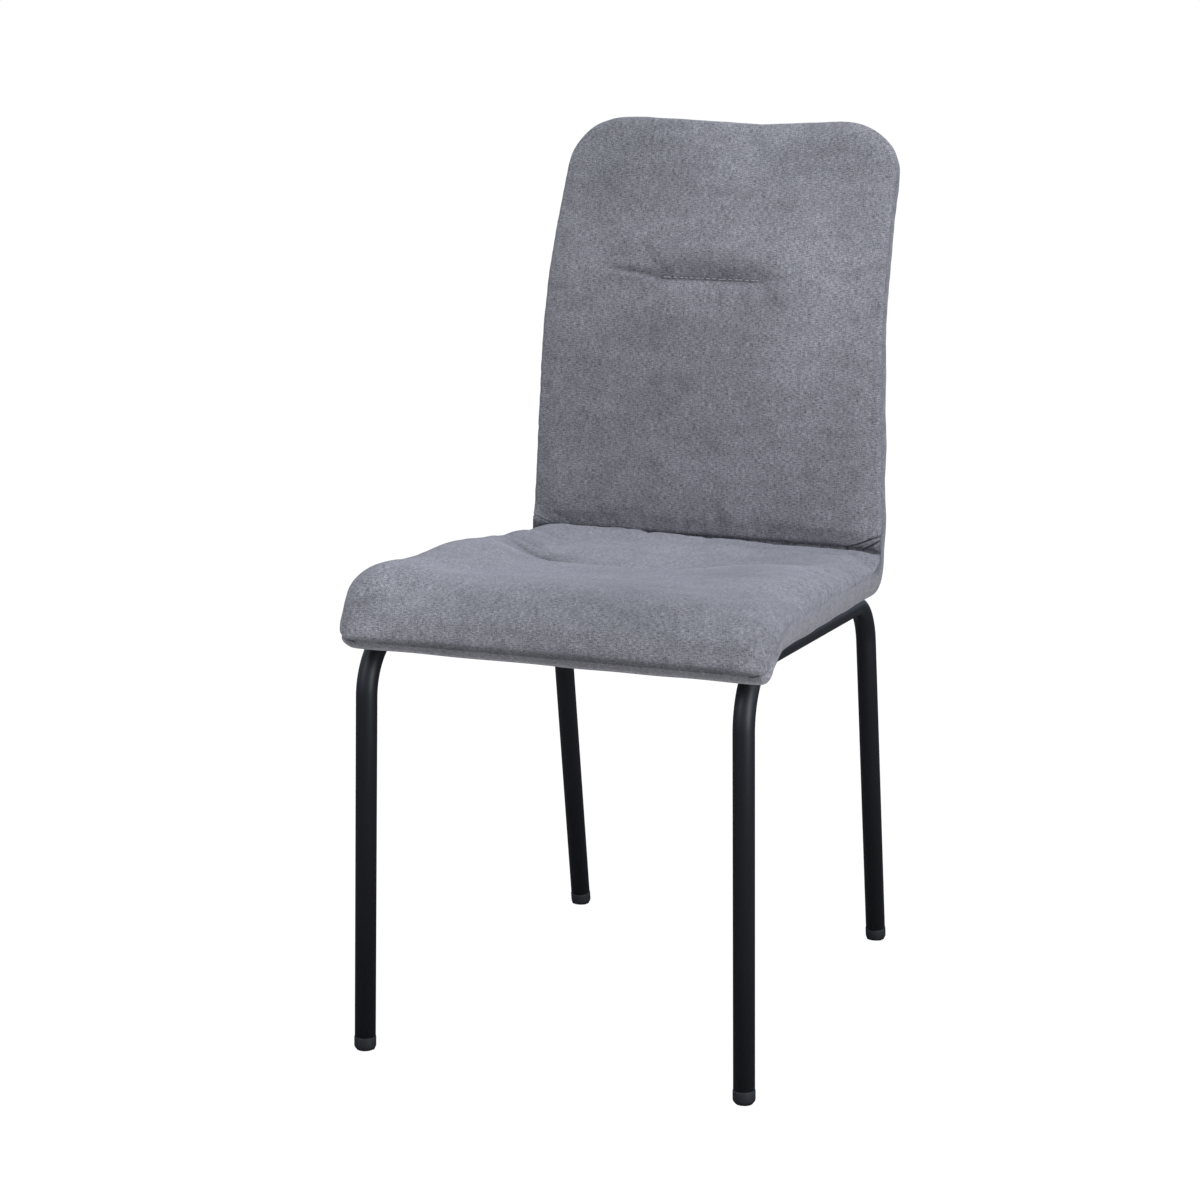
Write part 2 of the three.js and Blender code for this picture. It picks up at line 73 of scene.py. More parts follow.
# The perimeter seam: distances along the profile, and its height above the middle surface there.
SEAM_PLACES = (0, 0.020, 0.060, 0.100, 0.416, 0.436, 0.446, 0.458, 0.478, 0.491, 0.501,
               0.511, 0.521, 0.531, 0.541, 0.547, 0.571, 0.650, 0.850, 0.960, 0.992)
SEAM_HEIGHTS = (0.0110, 0.0135, 0.0165, 0.0190, 0.0200, 0.0207, 0.0210, 0.0230, 0.0254, 0.0290,
                0.0292, 0.0277, 0.0246, 0.0196, 0.0146, 0.0128, 0.0144, 0.0150, 0.0130, 0.0100,
                0.0080)
FAN_BEFORE, FAN_AFTER = 0.025, 0.033  # how far ahead of and past the bend the face is gathered in
SEAT_FACE = 0.043
BACK_FACE = (0.026, 0.022)  # at the bottom and the top of the back
UNDER_DEPTH = (0.0074, 0.015)  # of the covers behind the shell, under the seat and on the back
HALF_WIDTH = (0.224, 0.207, 0.191)  # at the front edge, the bend and the top
CREASE = (0.170, 0.476)  # behind the legs' middle, above the floor
FRONT_FLARE, BEND_FLARE = 0.0035, 0.0004  # extra half width there
# Rounded ends and edges: how long each is, and how square, where 2 is a quarter circle.
FRONT_CORNER, FRONT_CORNER_POWER = 0.019, 2.9
TOP_CORNER, TOP_CORNER_POWER = 0.064, 2.1
FRONT_NOSE, FRONT_NOSE_POWER = 0.048, 2.3
TOP_NOSE, TOP_NOSE_POWER = 0.026, 2.1
REAR_NOSE = (0.008, 0.016)  # at the front edge and the top
SHOULDER, SHOULDER_POWER = (0.046, 0.034), 2.3  # the face's sides, on the seat and the back
MOST_SHOULDER = 0.9  # of the half width
SHOULDER_POINTS, FLAT_POINTS = 60, 40  # along half of the section that the face's columns are laid on
CROWN = 0.0025
REAR_EDGE, REAR_EDGE_MORE_ON_BACK, REAR_EDGE_POWER = 0.014, 0.003, 2.8
REAR_LANES, REAR_EDGE_STEPS = 60, 10
PRESSED_REAR_LANES, PRESSED_REAR_EDGE_STEPS = 6, 3
# The sewn cover does not sit quite true on the shell: how far it is pulled to one side along the
# profile, and how far its top edge sags across the chair.
COVER_ASIDE_PLACES, COVER_ASIDE = (0, 0.10, 0.44, 0.99), (0.0108, 0.0098, 0.0034, 0.0030)
TOP_SAG_PLACES = (-0.16, -0.11, -0.04, 0.03, 0.12, 0.17)
TOP_SAG = (0.0030, 0.0024, 0.0050, 0.0080, 0.0028, 0.0040)
TOP_SAG_REACH = 0.11  # below the top
UNDERSIDE_END = 0.040  # the underside panel ends this far ahead of the bend
TUBE_RADIUS = 0.011
BEND_RADIUS = 0.062
LEG_RAKE = (0.013, -0.171)
FOOT_X = (0.208, 0.1833)
FRONT_CORNER_X = 0.201
TUBE_WALL = 0.0015
TUBE_SIDES, BEND_STEPS = 48, 24
RAIL_GAP = 0.0003  # between the rails and the panel under the seat
CAP_RIM = 0.0148  # from the floor to the cut end of the tube
CAP_SIDES = 48
CAP_EDGE = (0.0052, 0.0046)  # across and up, the foot's rounded lower edge
CAP_UNDERSIDE = [(0, 0.0004), (0.0048, 0.0004), (0.0056, 0.0)]
CAP_STEM = [(0.0086, 0.0145), (0.0086, 0.034), (0.0072, 0.036), (0, 0.036)]
CAP_WORN = 0.0012  # the lowest part of a leaning foot, worn level with the floor
BEAD_RADIUS, BEADS, BEAD_SWEEP = 0.0019, 9, 76  # the sweep is in degrees round the rail
BEAD_PROUD = 0.0006

SUBSTEPS = 3  # fine rows and columns of the cover for each one in the cloth simulation
YARN_PITCH = 0.0012
STITCH_RADIUS, STITCH_LIFT = 0.0006, 0.0007
STITCH_SIDES, STITCH_STEPS = 8, 6
SEAT_SEAM_EASE = 0.85  # how much of the perimeter seam's tightness is let out along the seat
SEAM_TUCK = 0.0012  # how deep the covers' edges are tucked into the perimeter seam
FIRM_BELOW = 0.0125  # the face can't be drawn in past this height above the middle surface
LEAST_ROOM = 0.006
CREASE_ROOM, CREASE_ROOM_REACH = 0.010, 0.030

PAD_FRAMES = 20
PAD_CLOTH = {
    "use_pressure": True,
    "vertex_group_mass": "held",
    "quality": 4,
    "mass": 0.3,
    "tension_stiffness": 12,
    "compression_stiffness": 12,
    "shear_stiffness": 4,
    "bending_stiffness": 0.4,
    "shrink_min": -0.02,
}

# Name, place, what it points at, size, watts and colour.
STUDIO_LIGHTS = [
    ("key", (-1.5, -2.3, 2.2), (0, 0, 0.5), (0.9, 1.6), 19, (1.0, 1.0, 1.0)),
    ("top", (0.2, 0.1, 2.9), (0, 0, 0.5), (2.2, 2.2), 60, (0.97, 0.985, 1.0)),
    ("fill", (2.5, -1.3, 1.2), (0, 0, 0.6), (1.4, 1.8), 54, (0.97, 0.98, 1.0)),
]
STUDIO_FLOOR_HALF, STUDIO_FLOOR_DROP = 12.0, 0.001
FLOOR_COLOUR, FLOOR_IN_REFLECTIONS = (0.69, 0.675, 0.655, 1), (0.10, 0.105, 0.115, 1)


def run_length(run):
    return run[1] if run[0] is None else run[0] * abs(run[1])


RUN_START = {}
PROFILE_LENGTH = 0.0
for _name, _run in PROFILE_RUNS.items():
    RUN_START[_name] = PROFILE_LENGTH
    PROFILE_LENGTH += run_length(_run)
FAN_START = RUN_START["bend"] - FAN_BEFORE
FAN_END = RUN_START["lumbar"] + FAN_AFTER
FAN_MIDDLE = (FAN_START + FAN_END) / 2


# ------------------------------------------------------------------ shape of the upholstery


def profile(s):
    """Points (y, z) and unit normals of the shell's middle surface at distances s."""
    s = np.asarray(s, float)
    y, z, heading = PROFILE_START
    y, z, heading = np.full(s.shape, y), np.full(s.shape, z), np.full(s.shape, heading)
    for name, (radius, amount) in PROFILE_RUNS.items():
        used = np.clip(s - RUN_START[name], 0, run_length(PROFILE_RUNS[name]))
        if radius is None:
            y = y + used * np.cos(heading)
            z = z + used * np.sin(heading)
            continue
        signed = math.copysign(radius, amount)
        onward = heading + used / signed
        y = y + signed * (np.sin(onward) - np.sin(heading))
        z = z - signed * (np.cos(onward) - np.cos(heading))
        heading = onward
    point = np.stack([y, z], -1)
    normal = np.stack([-np.sin(heading), np.cos(heading)], -1)
    return point, normal


def opened(distance, length, power=2.0):
    """How far a round-cornered end has opened at a distance from its tip, from 0 to 1."""
    share = np.clip(np.asarray(distance, float) / length, 0, 1)
    return (1 - (1 - share) ** power) ** (1 / power)


def blend_step(x, low, high):
    """A smooth step from 0 at low to 1 at high."""
    t = np.clip((np.asarray(x, float) - low) / (high - low), 0, 1)
    return t * t * (3 - 2 * t)


def hump(x, centre, width):
    """A smooth bump, 1 at its centre."""
    return np.exp(-(((np.asarray(x, float) - centre) / width) ** 2))


def cusp(distance, width):
    """A sharp-bottomed groove with sides that bulge, 1 at the bottom."""
    return np.exp(-np.abs(distance) / width)


def half_width(s):
    """Half the width of the upholstery, before its corners are rounded."""
    before = RUN_START["bend"]
    on_seat = np.interp(s, [0, before], HALF_WIDTH[:2])
    on_back = np.interp(s, [before, PROFILE_LENGTH], HALF_WIDTH[1:])
    flare = FRONT_FLARE * (1 - blend_step(s, 0.03, 0.12))
    flare = flare + BEND_FLARE * blend_step(s, 0.38, 0.44) * (1 - 0.6 * blend_step(s, 0.56, 0.72))
    return np.where(s < before, on_seat, on_back) + flare * (1 - 0.4 * blend_step(s, 0.75, 0.95))


def face_height(s):
    """Height of the cushion's face above the shell's middle surface."""
    knots = [FAN_START, FAN_END, PROFILE_LENGTH]
    return np.interp(s, knots, [SEAT_FACE, *BACK_FACE])


def seam_height(s):
    return np.interp(s, SEAM_PLACES, SEAM_HEIGHTS)


def face_point(s):
    """The face of the cushion on the chair's middle plane, gathered to the crease round the bend."""
    point, normal = profile(s)
    face = point + normal * face_height(s)[..., None]
    ends, end_normals = profile(np.array([FAN_START, FAN_END]))
    ends = ends + end_normals * face_height(np.array([FAN_START, FAN_END]))[:, None]
    crease = np.array([CREASE[0] + LEG_FRAME_MIDDLE_Y, CREASE[1]])
    knots = [FAN_START, FAN_MIDDLE, FAN_END]
    for axis in (0, 1):
        gathered = np.interp(s, knots, [ends[0, axis], crease[axis], ends[1, axis]])
        inside = (s > FAN_START) & (s < FAN_END)
        face[..., axis] = np.where(inside, gathered, face[..., axis])
    return face


def outline_half_width(s):
    """Half the width of the upholstery with its rounded corners."""
    front = opened(s, FRONT_CORNER, FRONT_CORNER_POWER)
    top = opened(PROFILE_LENGTH - s, TOP_CORNER, TOP_CORNER_POWER)
    return half_width(s) - FRONT_CORNER * (1 - front) - TOP_CORNER * (1 - top)


def upholstery_points(s, x, height):
    """Points of the upholstery at heights above the shell's middle surface."""
    point, normal = profile(s)
    foot = point + normal * np.minimum(height, FOAM_UNDERSIDE)[..., None]
    share = np.maximum(0, height - FOAM_UNDERSIDE) / (face_height(s) - FOAM_UNDERSIDE)
    flat = foot + (face_point(s) - foot) * share[..., None]
    aside = np.interp(s, COVER_ASIDE_PLACES, COVER_ASIDE)
    near_top = blend_step(s, PROFILE_LENGTH - TOP_SAG_REACH, PROFILE_LENGTH)
    sag = np.interp(x, TOP_SAG_PLACES, TOP_SAG) * near_top
    return np.stack([x + aside, flat[..., 0], flat[..., 1] - sag], -1)


def soft_least(a, b, width):
    """The lesser of two distances, rounded off where they cross."""
    return -width * np.log(np.exp(-a / width) + np.exp(-b / width))


def spaced(knots, steps):
    """Places from knot to knot, with the given step beside each knot and a smooth change between."""
    dense = np.linspace(knots[0], knots[-1], 4001)
    density = 1 / np.interp(dense, knots, steps)
    total = np.concatenate([[0], np.cumsum((density[1:] + density[:-1]) / 2 * np.diff(dense))])
    count = SUBSTEPS * round(total[-1] / SUBSTEPS)
    return np.interp(np.linspace(0, total[-1], count + 1), total, dense)


def face_rows():
    back_tuft = back_tuft_place()[0]
    knots = [0, 0.02, 0.06, SEAT + 0.160, SEAT + 0.190, SEAT + 0.260, FAN_START - 0.01,
             FAN_START + 0.02, FAN_MIDDLE, FAN_END - 0.01, FAN_END + 0.03,
             back_tuft - 0.03, back_tuft, back_tuft + 0.03, PROFILE_LENGTH - 0.05,
             PROFILE_LENGTH - 0.01, PROFILE_LENGTH]
    steps = [0.0008, 0.0018, 0.0030, 0.0028, 0.0020, 0.0028, 0.0030,
             0.0020, 0.0008, 0.0015, 0.0032,
             0.0028, 0.0014, 0.0028, 0.0030,
             0.0012, 0.0009]
    return spaced(np.array(knots), np.array(steps))


def face_columns():
    knots = np.array([0, 0.02, 0.09, 0.2, 0.5, 0.8, 0.91, 0.98, 1.0])
    steps = np.array([0.0015, 0.0022, 0.0044, 0.0060, 0.0060, 0.0060, 0.0044, 0.0022, 0.0015])
    return spaced(knots, steps)


def face_base(rows, columns):
    """The face of the cushion before any sewing: points, and fabric coordinates in metres."""
    s = rows[:, None]
    width = outline_half_width(s)
    nose = opened(s, FRONT_NOSE, FRONT_NOSE_POWER)
    nose = nose * opened(PROFILE_LENGTH - s, TOP_NOSE, TOP_NOSE_POWER)
    rise = (face_height(s) - seam_height(s)) * nose
    shoulder = np.interp(s, [FAN_START, FAN_END], SHOULDER)
    shoulder = np.minimum(shoulder, width * MOST_SHOULDER)
    angle = np.linspace(0, math.pi / 2, SHOULDER_POINTS)[None, :]
    corner_x = width - shoulder * (1 - np.cos(angle) ** (2 / SHOULDER_POWER))
    corner_h = rise * np.sin(angle) ** (2 / SHOULDER_POWER)
    flat = np.linspace(0, 1, FLAT_POINTS)[None, 1:]
    flat_x = (width - shoulder) * (1 - flat)
    crown = CROWN * (1 - (flat_x / np.maximum(width - shoulder, 1e-6)) ** 2)
    flat_h = rise * (1 + crown / SEAT_FACE)
    half_x = np.concatenate([corner_x, flat_x], 1)
    half_h = np.concatenate([corner_h, flat_h], 1)
    section_x = np.concatenate([-half_x, half_x[:, -2::-1]], 1)
    section_h = np.concatenate([half_h, half_h[:, -2::-1]], 1)
    step = np.hypot(np.diff(section_x, axis=1), np.diff(section_h, axis=1))
    arc = np.concatenate([np.zeros((len(rows), 1)), np.cumsum(step, 1)], 1)
    x = np.empty((len(rows), len(columns)))
    h = np.empty_like(x)
    across = np.empty_like(x)
    for i in range(len(rows)):
        places = columns * arc[i, -1]
        x[i] = np.interp(places, arc[i], section_x[i])
        h[i] = np.interp(places, arc[i], section_h[i])
        across[i] = places - arc[i, -1] / 2
    s_grid = np.repeat(s, len(columns), 1)
    points = upholstery_points(s_grid, x, seam_height(s) + h)
    middle = points[:, len(columns) // 2]
    along = np.concatenate([[0], np.cumsum(np.linalg.norm(np.diff(middle, axis=0), axis=1))])
    cloth = np.stack([across, np.repeat(along[:, None], len(columns), 1), 0 * across], -1)
    to_side = np.minimum(columns, 1 - columns)[None, :] * arc[:, -1:]
    return points, cloth, s_grid, to_side


def grid_normals(points):
    along = np.gradient(points, axis=0)
    across = np.gradient(points, axis=1)
    normal = np.cross(across, along)
    length = np.linalg.norm(normal, axis=-1, keepdims=True)
    return normal / np.maximum(length, 1e-12)


def refine(field, times):
    """A grid of vectors interpolated smoothly to so many steps for each of its own."""
    for axis in (0, 1):
        field = np.moveaxis(field, axis, 0)
        count = len(field) - 1
        place = np.arange(count * times + 1) / times
        i = np.minimum(place.astype(int), count - 1)
        t = (place - i)[:, None, None]
        p0, p1 = field[np.maximum(i - 1, 0)], field[i]
        p2, p3 = field[i + 1], field[np.minimum(i + 2, count)]
        a, b = 2 * p1, p2 - p0
        c, d = 2 * p0 - 5 * p1 + 4 * p2 - p3, 3 * p1 - p0 - 3 * p2 + p3
        field = np.moveaxis((a + b * t + c * t * t + d * t**3) / 2, 0, axis)
    return field


def ripple(a, b, seed, wavelength, count=7):
    """Smooth, repeatable unevenness between about -1 and 1 over two coordinates."""
    random = np.random.default_rng(seed)
    total = np.zeros(np.broadcast(a, b).shape)
    for _ in range(count):
        angle = random.uniform(0, math.pi)
        wave = 2 * math.pi / (wavelength * random.uniform(0.7, 1.5))
        phase = random.uniform(0, 2 * math.pi)
        total += np.sin(wave * (a * math.cos(angle) + b * math.sin(angle)) + phase)
    return total / math.sqrt(count * 2)


def to_line(a, b, line):
    """Distance to a polyline, how far along it the nearest point is (0 to 1), and the signed side."""
    line = np.asarray(line, float)
    lengths = np.linalg.norm(np.diff(line, axis=0), axis=1)
    starts = np.concatenate([[0], np.cumsum(lengths)])
    best = np.full(a.shape, np.inf)
    share = np.zeros(a.shape)
    side = np.zeros(a.shape)
    for k in range(len(lengths)):
        direction = (line[k + 1] - line[k]) / lengths[k]
        da, db = a - line[k, 0], b - line[k, 1]
        t = np.clip(da * direction[0] + db * direction[1], 0, lengths[k])
        off_a, off_b = da - t * direction[0], db - t * direction[1]
        distance = np.hypot(off_a, off_b)
        nearer = distance < best
        best = np.where(nearer, distance, best)
        share = np.where(nearer, (starts[k] + t) / starts[-1], share)
        side = np.where(nearer, direction[0] * db - direction[1] * da, side)
    return best, share, side


# ------------------------------------------------------------------ sewing and folds


def back_tuft_place():
    """Distance along the profile and half length of the back's stitched tuft."""
    return RUN_START["lean"] + 0.0935, 0.058


SEAT = RUN_START["seat"]
# The seat's stitched tuft and the valley that runs on from it: a smile seen from above.
SEAT_TUFT = [(-0.062, SEAT + 0.183), (-0.030, SEAT + 0.176), (0.0, SEAT + 0.176), (0.036, SEAT + 0.188),
             (0.058, SEAT + 0.206)]
SEAT_VALLEY = [(-0.200, SEAT + 0.285), (-0.165, SEAT + 0.236), (-0.132, SEAT + 0.205),
               (-0.100, SEAT + 0.188), *SEAT_TUFT, (0.080, SEAT + 0.230), (0.106, SEAT + 0.243),
               (0.150, SEAT + 0.246), (0.185, SEAT + 0.252)]


def seat_valley(s, x):
    """Depth of the valley in the seat, drawn down by the tuft: steep behind the front pad's crest."""
    distance, _, side = to_line(x, s, SEAT_VALLEY)
    ahead = side < 0
    shape = np.exp(-((distance / np.where(ahead, 0.020, 0.058)) ** np.where(ahead, 1.5, 1.3)))
    strength = np.interp(x, [-0.20, -0.165, -0.13, -0.07, 0.06, 0.09, 0.12, 0.15, 0.19],
                         [0.0, 0.22, 0.66, 1, 1, 0.80, 0.50, 0.28, 0.05])
    return 0.0165 * shape * strength


def sink(s, x):
    """Depth to which the cover is drawn in before the pads push back."""
    tuft_s, tuft_x = back_tuft_place()
    off_x = np.maximum(np.abs(x) - tuft_x * 0.9, 0)
    near = np.hypot((s - tuft_s) / 0.060, off_x / 0.070)
    return 0.0025 * np.exp(-(near**2)) + 0.3 * seat_valley(s, x)


def seat_swell(s, x):
    """The seat pad's own bulge: along its sides, ahead of the tuft, and where it meets the back."""
    y = s - SEAT
    sides = blend_step(np.abs(x), 0.07, 0.18)
    shape = (-0.0020 + 0.0085 * sides) * hump(y, 0.135, 0.090)
    rear = hump(y, 0.362, 0.024) * np.interp(x, [-0.2, -0.15, -0.06, 0.0, 0.1, 0.2],
                                             [0.0045, 0.0085, 0.0070, 0.0045, 0.0022, -0.0024])
    left = 0.0080 * blend_step(-x, 0.10, 0.19) * (1 - blend_step(y, 0.30, 0.365))
    left = left + 0.0060 * hump(s, 0.050, 0.040) * blend_step(-x, 0.12, 0.20)
    return (shape + rear + left) * blend_step(s, -0.01, 0.06)


# Folds in the cover: where each starts, passes and ends (across, along the profile), how deep and how
# wide it is.
FOLDS = [
    ([(-0.178, SEAT + 0.246), (-0.140, SEAT + 0.226), (-0.100, SEAT + 0.204), (-0.060, SEAT + 0.188)],
     0.0038, 0.0070),
    ([(-0.183, SEAT + 0.329), (-0.150, SEAT + 0.313), (-0.110, SEAT + 0.290)], 0.0018, 0.0060),
    ([(-0.192, SEAT + 0.287), (-0.164, SEAT + 0.262), (-0.120, SEAT + 0.232)], 0.0028, 0.0060),
    ([(-0.168, SEAT + 0.213), (-0.138, SEAT + 0.192), (-0.110, SEAT + 0.184)], 0.0012, 0.0080),
    ([(0.058, SEAT + 0.206), (0.085, SEAT + 0.236), (0.120, SEAT + 0.250), (0.160, SEAT + 0.256)],
     0.0018, 0.0080),
    ([(0.150, SEAT + 0.335), (0.185, SEAT + 0.342)], 0.0012, 0.0060),
]


def back_folds():
    s, x = back_tuft_place()
    return [
        ([(-x, s), (-0.073, s + 0.003), (-0.090, s + 0.005), (-0.122, s + 0.008)], 0.0030, 0.0030),
        ([(x, s), (0.080, s + 0.003), (0.108, s + 0.006)], 0.0012, 0.0050),
        ([(x - 0.004, s - 0.003), (0.070, s - 0.012), (0.088, s - 0.030)], 0.0010, 0.0080),
        ([(-x + 0.004, s - 0.003), (-0.075, s - 0.016), (-0.090, s - 0.036)], 0.0006, 0.0080),
        ([(0.128, s - 0.158), (0.178, s - 0.160), (0.200, s - 0.157)], 0.0007, 0.0030),
        ([(0.150, s - 0.185), (0.205, s - 0.182)], 0.0008, 0.0035),
        ([(0.160, s - 0.136), (0.203, s - 0.132)], 0.0005, 0.0030),
        ([(0.170, s - 0.222), (0.206, s - 0.214)], 0.0007, 0.0035),
        ([(-0.203, s - 0.106), (-0.165, s - 0.113)], 0.0005, 0.0040),
        ([(-0.205, s - 0.171), (-0.170, s - 0.166)], 0.0005, 0.0040),
    ]


def dart_folds():
    """The two short darts where the seat, the back and the side meet, on each side."""
    folds = []
    for side, deep in ((-1, 0.3), (1, 1.0)):
        folds.append(([(side * 0.170, 0.491), (side * 0.186, 0.506), (side * 0.2095, 0.5350)],
                      0.0040 * deep, 0.0014))
        folds.append(([(side * 0.188, 0.488), (side * 0.198, 0.502), (side * 0.2095, 0.5235)],
                      0.0040 * deep, 0.0014))
    return folds


def fold_fade(share):
    """How full a fold is along its length: it dies away at both ends."""
    return np.sin(math.pi * np.clip(share * 0.88 + 0.06, 0, 1)) ** 0.8


def crease_relief(from_crease, x, to_side):
    """The tight fold between seat and back: the seat rolls into it and the back comes straight down."""
    on_seat = from_crease < 0
    fade = blend_step(to_side, 0.0, 0.012)
    relief = -0.0050 * cusp(from_crease, np.where(on_seat, 0.0026, 0.0016)) * fade
    notches = hump(x, 0.022, 0.003) + 0.8 * hump(x, 0.062, 0.0025) + 0.5 * hump(x, -0.035, 0.004)
    relief -= 0.0014 * notches * hump(from_crease, -0.010, 0.007)
    relief += 0.0006 * ripple(x, from_crease * 0.3, 5, 0.060) * hump(from_crease, -0.014, 0.014)
    return relief


def line_across(s, half):
    """A straight line across the chair."""
    return [(-half, s), (half, s)]


def seam_at_bend(s):
    """Where the perimeter seam goes round the bend, drawn tight by the darts."""
    return blend_step(s, 0.435, 0.465) * (1 - blend_step(s, 0.535, 0.555))


def seam_tightness(s):
    """How tight the perimeter seam is drawn: loose along the sides of the seat, full elsewhere."""
    on_seat = blend_step(s, 0.05, 0.10) * (1 - blend_step(s, FAN_START - 0.02, FAN_START + 0.02))
    return 1 - SEAT_SEAM_EASE * on_seat


def sewing_depth(s, x, to_side, to_edge, along):
    """Fine relief of the finished cover, in metres out of the surface."""
    crease_at = np.interp(FAN_MIDDLE, s[:, 0], along[:, 0])
    relief = crease_relief(along - crease_at, x, to_side)

    tuft_s, tuft_x = back_tuft_place()
    distance, _, side = to_line(x, s, line_across(tuft_s, tuft_x))
    relief -= 0.0072 * cusp(distance, np.where(side > 0, 0.0080, 0.0042))
    relief += 0.0026 * hump(s - tuft_s, 0.030, 0.016) * hump(x, 0, 0.080)

    distance, _, side = to_line(x, s, SEAT_TUFT)
    relief -= 0.0034 * cusp(distance, np.where(side > 0, 0.0080, 0.0045))
    relief -= 0.7 * seat_valley(s, x) * blend_step(to_side, 0.0, 0.02)

    for line, depth, width in [*FOLDS, *back_folds(), *dart_folds()]:
        distance, share, _ = to_line(x, s, line)
        fade = fold_fade(share)
        relief -= depth * fade * cusp(distance, width)
        relief += 0.35 * depth * fade * hump(distance, 2.2 * width, 1.3 * width)

    tight = seam_tightness(s)
    on_seat = (1 - tight) / SEAT_SEAM_EASE
    relief -= 0.0022 * tight * cusp(to_edge, 0.0018)
    relief -= 0.0008 * cusp(s, 0.0016)
    relief += 0.0009 * tight * hump(to_edge, 0.0070, 0.0045)
    pucker = np.sin(along * 2 * math.pi / 0.017 + 3.0 * ripple(along, x, 8, 0.07))
    some = blend_step(ripple(along, 0 * along, 18, 0.11), -0.1, 0.7)
    front_half = np.interp(s, [0.04, 0.08, 0.16, 0.26], [0.2, 1.0, 0.8, 0.35])
    relief += (0.0010 * on_seat * front_half * some + 0.0001) * pucker * hump(to_side, 0.004, 0.010)
    pucker = np.sin(x * 2 * math.pi / 0.034 + 2.0 * ripple(x, s, 9, 0.12))
    relief += 0.0004 * pucker * hump(s, 0.006, 0.016)

    relief += 0.0007 * ripple(x, along, 11, 0.085) * blend_step(to_edge, 0.0, 0.03)
    relief += 0.00020 * ripple(x, along, 12, 0.030, 11)
    return relief


# Broad patches of painted light and shade: middle, half widths (across, along), amount.
PAINTED_LIGHT_PATCHES = [
    ((-0.120, 0.950), (0.110, 0.110), -0.24),
    ((0.120, 0.960), (0.080, 0.080), -0.12),
    ((0.115, 0.765), (0.055, 0.110), 0.32),
    ((-0.080, 0.755), (0.060, 0.050), -0.10),
    ((0.040, SEAT + 0.190), (0.110, 0.030), 0.16),
    ((0.0, SEAT + 0.300), (0.090, 0.060), 0.07),
    ((0.0, 0.950), (0.050, 0.080), 0.06),
    ((0.075, 0.772), (0.045, 0.034), -0.22),
    ((0.100, 0.600), (0.060, 0.080), 0.06),
    ((-0.010, 0.590), (0.050, 0.060), 0.06),
    ((0.150, SEAT + 0.300), (0.070, 0.070), -0.12),
    ((0.100, SEAT + 0.120), (0.120, 0.060), -0.14),
    ((0.090, 0.075), (0.130, 0.045), -0.21),
    ((-0.160, 0.060), (0.060, 0.050), 0.08),
    ((-0.192, 0.006), (0.045, 0.010), 0.30),
    ((0.060, 0.025), (0.200, 0.030), -0.11),
]


def painted_light_and_shade(s, x, to_side, to_edge, along):
    """Painted light and shade, lighter above 0: painted shade in the crease, tufts, valley, folds, darts
    and seams, a painted highlight on the crest's rim, and broad painted patches.
    """
    crease_at = np.interp(FAN_MIDDLE, s[:, 0], along[:, 0])
    # painted shade in the crease between seat and back
    shade = -0.30 * hump(along - crease_at, 0.001, 0.0040)
    # painted shade along the back's tuft, with a painted shadow above it
    tuft_s, tuft_x = back_tuft_place()
    distance, _, _ = to_line(x, s, line_across(tuft_s, tuft_x))
    shade -= 0.34 * hump(distance, 0, 0.0020)
    shade -= 0.19 * hump(s - tuft_s, 0.0080, 0.0100) * hump(x, 0, 0.070)
    shade -= 0.14 * hump(s - tuft_s, 0.0040, 0.0090) * hump(x, -0.058, 0.014)
    shade -= 0.07 * hump(s - tuft_s, -0.020, 0.016) * hump(x, 0.055, 0.040)
    # painted shade in the seat's valley behind the front crest, and a painted highlight on the crest's rim
    distance, _, side = to_line(x, s, SEAT_VALLEY)
    reach = np.interp(x, [-0.19, -0.13, 0.09, 0.16], [0.2, 1, 0.9, 0.1])
    behind = np.where(side > 0, hump(distance, 0, 0.055), hump(distance, 0, 0.024))
    shade -= 0.08 * behind * reach
    shade -= 0.16 * hump(x, -0.098, 0.030) * hump(s - SEAT, 0.212, 0.020)
    shade += 0.13 * np.where(side > 0, 0, hump(distance, 0.038, 0.007)) * reach
    # painted shade along the seat's tuft
    distance, _, _ = to_line(x, s, SEAT_TUFT)
    shade -= 0.24 * hump(distance, 0, 0.0030)
    # painted shade in the folds and darts
    for line, depth, width in [*FOLDS, *back_folds(), *dart_folds()]:
        distance, share, _ = to_line(x, s, line)
        fade = fold_fade(share)
        shade -= 70 * depth * fade * hump(distance, 0, 0.8 * width)
    for line, depth, width in dart_folds():
        shade -= 60 * depth * hump(to_line(x, s, line)[0], 0, 0.0013)
    # painted shade in the seam round the bend
    shade -= 0.45 * hump(to_side, 0, 0.0024) * seam_at_bend(s)
    # broad patches of painted light and shade
    for place, reach, amount in PAINTED_LIGHT_PATCHES:
        shade += amount * hump(x, place[0], reach[0]) * hump(s, place[1], reach[1])
    # painted shade along the front seam, painted light just above it, painted shade along the edges
    shade -= 0.62 * hump(s, 0.0002, 0.0009)
    shade += 0.16 * hump(s, 0.0040, 0.0040)
    shade -= 0.16 * hump(to_edge, 0, 0.0018) * seam_tightness(s)
    return np.maximum(shade, -0.6)


def kept_clear(depth, room):
    """Limits how far inwards (negative) the cover goes to the room under it."""
    return np.where(depth < 0, -room * np.tanh(-depth / room), depth)


# ------------------------------------------------------------------ meshes


def grid_faces(rows, columns, flip=False):
    index = np.arange(rows * columns).reshape(rows, columns)
    quads = np.stack([index[:-1, :-1], index[:-1, 1:], index[1:, 1:], index[1:, :-1]], -1)
    quads = quads.reshape(-1, 4)
    return quads[:, ::-1] if flip else quads


